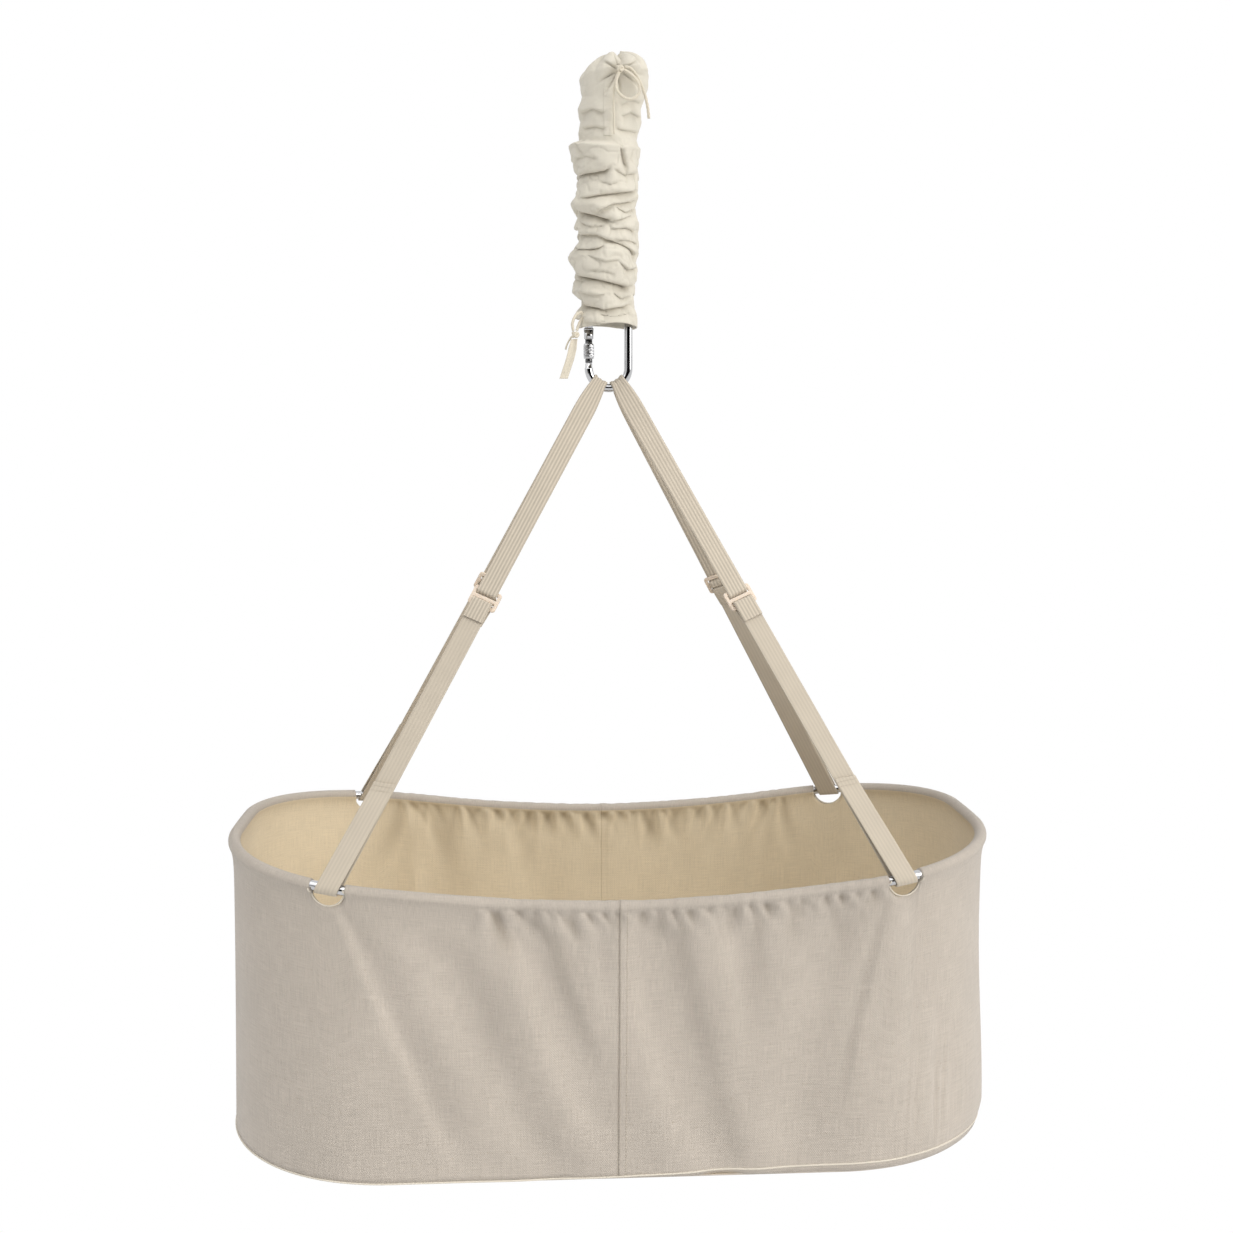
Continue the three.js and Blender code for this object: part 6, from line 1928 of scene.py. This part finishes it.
class CRADLE_OT_materials(bpy.types.Operator):
    """Cloth, webbing, steel, plastic and wood finishes"""

    bl_idname = "cradle.materials"
    bl_label = "Materials"

    def execute(self, context):
        build_materials(context.scene.cradle_look)
        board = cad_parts["base_board"]
        board.data.materials.clear()
        board.data.materials.append(bpy.data.materials["birch_plywood"])
        return {"FINISHED"}


class CRADLE_OT_ties(bpy.types.Operator):
    """Cords, knots and tape that tie the sleeve"""

    bl_idname = "cradle.ties"
    bl_label = "Ties"

    def execute(self, context):
        knot = tie_knot("tie_knot_top", TOP_KNOT, "spring_top", "top_knot")
        loop, route = tie_cord("tie_loop_top", TOP_LOOP, CORD_RADIUS, "spring_top", "top_loop")
        tail, route = tie_cord("tie_tail_top", TOP_TAIL, CORD_RADIUS, "spring_top", "top_tail")
        thin, route = tie_cord("tie_cord_placket", PLACKET_CORD, THIN_CORD_RADIUS, "spring_top",
                               "placket_cord")
        knot = tie_knot("tie_knot_bottom", BOTTOM_KNOT, "spring_bottom", "bottom_knot")
        short, _ = tie_cord("tie_tail_bottom", BOTTOM_TAIL, THIN_CORD_RADIUS, "spring_bottom",
                            "bottom_tail")
        tape = tie_tape()
        loop, route = tie_cord("tie_loop_bottom", BOTTOM_LOOP, CORD_RADIUS, "spring_bottom",
                               "bottom_loop")
        return {"FINISHED"}


class CRADLE_OT_canvas(bpy.types.Operator):
    """Canvas sides, hem, base, piping and their stitches"""

    bl_idname = "cradle.canvas"
    bl_label = "Canvas basket"

    def execute(self, context):
        fold_depth = context.scene.cradle_look.fold_depth
        left, right = (canvas_wall(side, fold_depth) for side in (-1, 1))
        base = base_canvas()
        piping = seam_piping(fold_depth)
        bindings = notch_edges()
        seams = seam_stitches(fold_depth)
        return {"FINISHED"}


class CRADLE_OT_mattress(bpy.types.Operator):
    """Quilted mattress"""

    bl_idname = "cradle.mattress"
    bl_label = "Mattress"

    def execute(self, context):
        mattress()
        return {"FINISHED"}


class CRADLE_OT_webbing(bpy.types.Operator):
    """Webbing legs and their stitches"""

    bl_idname = "cradle.webbing"
    bl_label = "Webbing legs"

    def execute(self, context):
        upper = upper_stations()
        webbing("left_strap", upper, (1, 1), "left_upper_webbing", 1)
        webbing("right_strap", upper, (-1, 1), "right_upper_webbing", 2)
        lower = lower_stations()
        for i, (name, signs) in enumerate(CORNERS.items()):
            webbing(f"leg_{name}", lower, signs, f"lower_webbing_{name}", 3 + i, "leg_webbing")
        strap_stitches()
        return {"FINISHED"}


class CRADLE_OT_sliders(bpy.types.Operator):
    """Moulded sliders on the legs"""

    bl_idname = "cradle.sliders"
    bl_label = "Sliders"

    def execute(self, context):
        for name, signs in CORNERS.items():
            slider(name, signs)
        return {"FINISHED"}


class CRADLE_OT_steel(bpy.types.Operator):
    """Ring, swivel eyes, spring, carabiner and rim rod"""

    bl_idname = "cradle.steel"
    bl_label = "Steel parts"

    def execute(self, context):
        reach = (RING_BORE + RING_WIRE) / 2
        bm = ring((0, 0, RING_Z), (1, 0, 0), reach, RING_WIRE / 2)
        make_piece("hanging_ring", bm, ["bright_steel"], "hanger", ["top_ring"])
        swivel_eye("eye_top", TOP_EYE_Z, (0, 1, 0), -1, "upper_eye", "top_swivel_eye")
        swivel_eye("eye_bottom", BOTTOM_EYE_Z, (1, 0, 0), 1, "spring_bottom",
                   "bottom_swivel_eye")
        coil_spring()
        carabiner_frame()
        hinge_rivet()
        gate_bar()
        locking_collar()
        rim_rod()
        return {"FINISHED"}


class CRADLE_OT_sleeve(bpy.types.Operator):
    """Ruched cotton sleeve over the spring"""

    bl_idname = "cradle.sleeve"
    bl_label = "Cotton sleeve"

    def execute(self, context):
        sleeve = cotton_sleeve()
        band = sleeve_placket()
        return {"FINISHED"}


OPERATORS = (
    CRADLE_OT_stage, CRADLE_OT_materials, CRADLE_OT_ties, CRADLE_OT_sleeve, CRADLE_OT_steel,
    CRADLE_OT_webbing, CRADLE_OT_sliders, CRADLE_OT_canvas, CRADLE_OT_mattress,
)


class CRADLE_PT_panel(bpy.types.Panel):
    """Settings and build steps of the cradle"""

    bl_idname = "CRADLE_PT_panel"
    bl_label = "Hanging cradle"
    bl_space_type = "VIEW_3D"
    bl_region_type = "UI"
    bl_category = "Cradle"

    def draw(self, context):
        for group in (context.scene.cradle_look, context.scene.cradle_stage):
            for name in group.__annotations__:
                self.layout.prop(group, name)
        for operator in OPERATORS:
            self.layout.operator(operator.bl_idname)


CLASSES = (CradleLook, CradleStage, *OPERATORS, CRADLE_PT_panel)


def register():
    for cls in CLASSES:
        bpy.utils.register_class(cls)
    bpy.types.Scene.cradle_look = bpy.props.PointerProperty(type=CradleLook)
    bpy.types.Scene.cradle_stage = bpy.props.PointerProperty(type=CradleStage)


def unregister():
    del bpy.types.Scene.cradle_stage
    del bpy.types.Scene.cradle_look
    for cls in reversed(CLASSES):
        bpy.utils.unregister_class(cls)


def main():
    register()
    for operator in OPERATORS:
        group, name = operator.bl_idname.split(".")
        getattr(getattr(bpy.ops, group), name)()


if __name__ == "__main__":
    main()
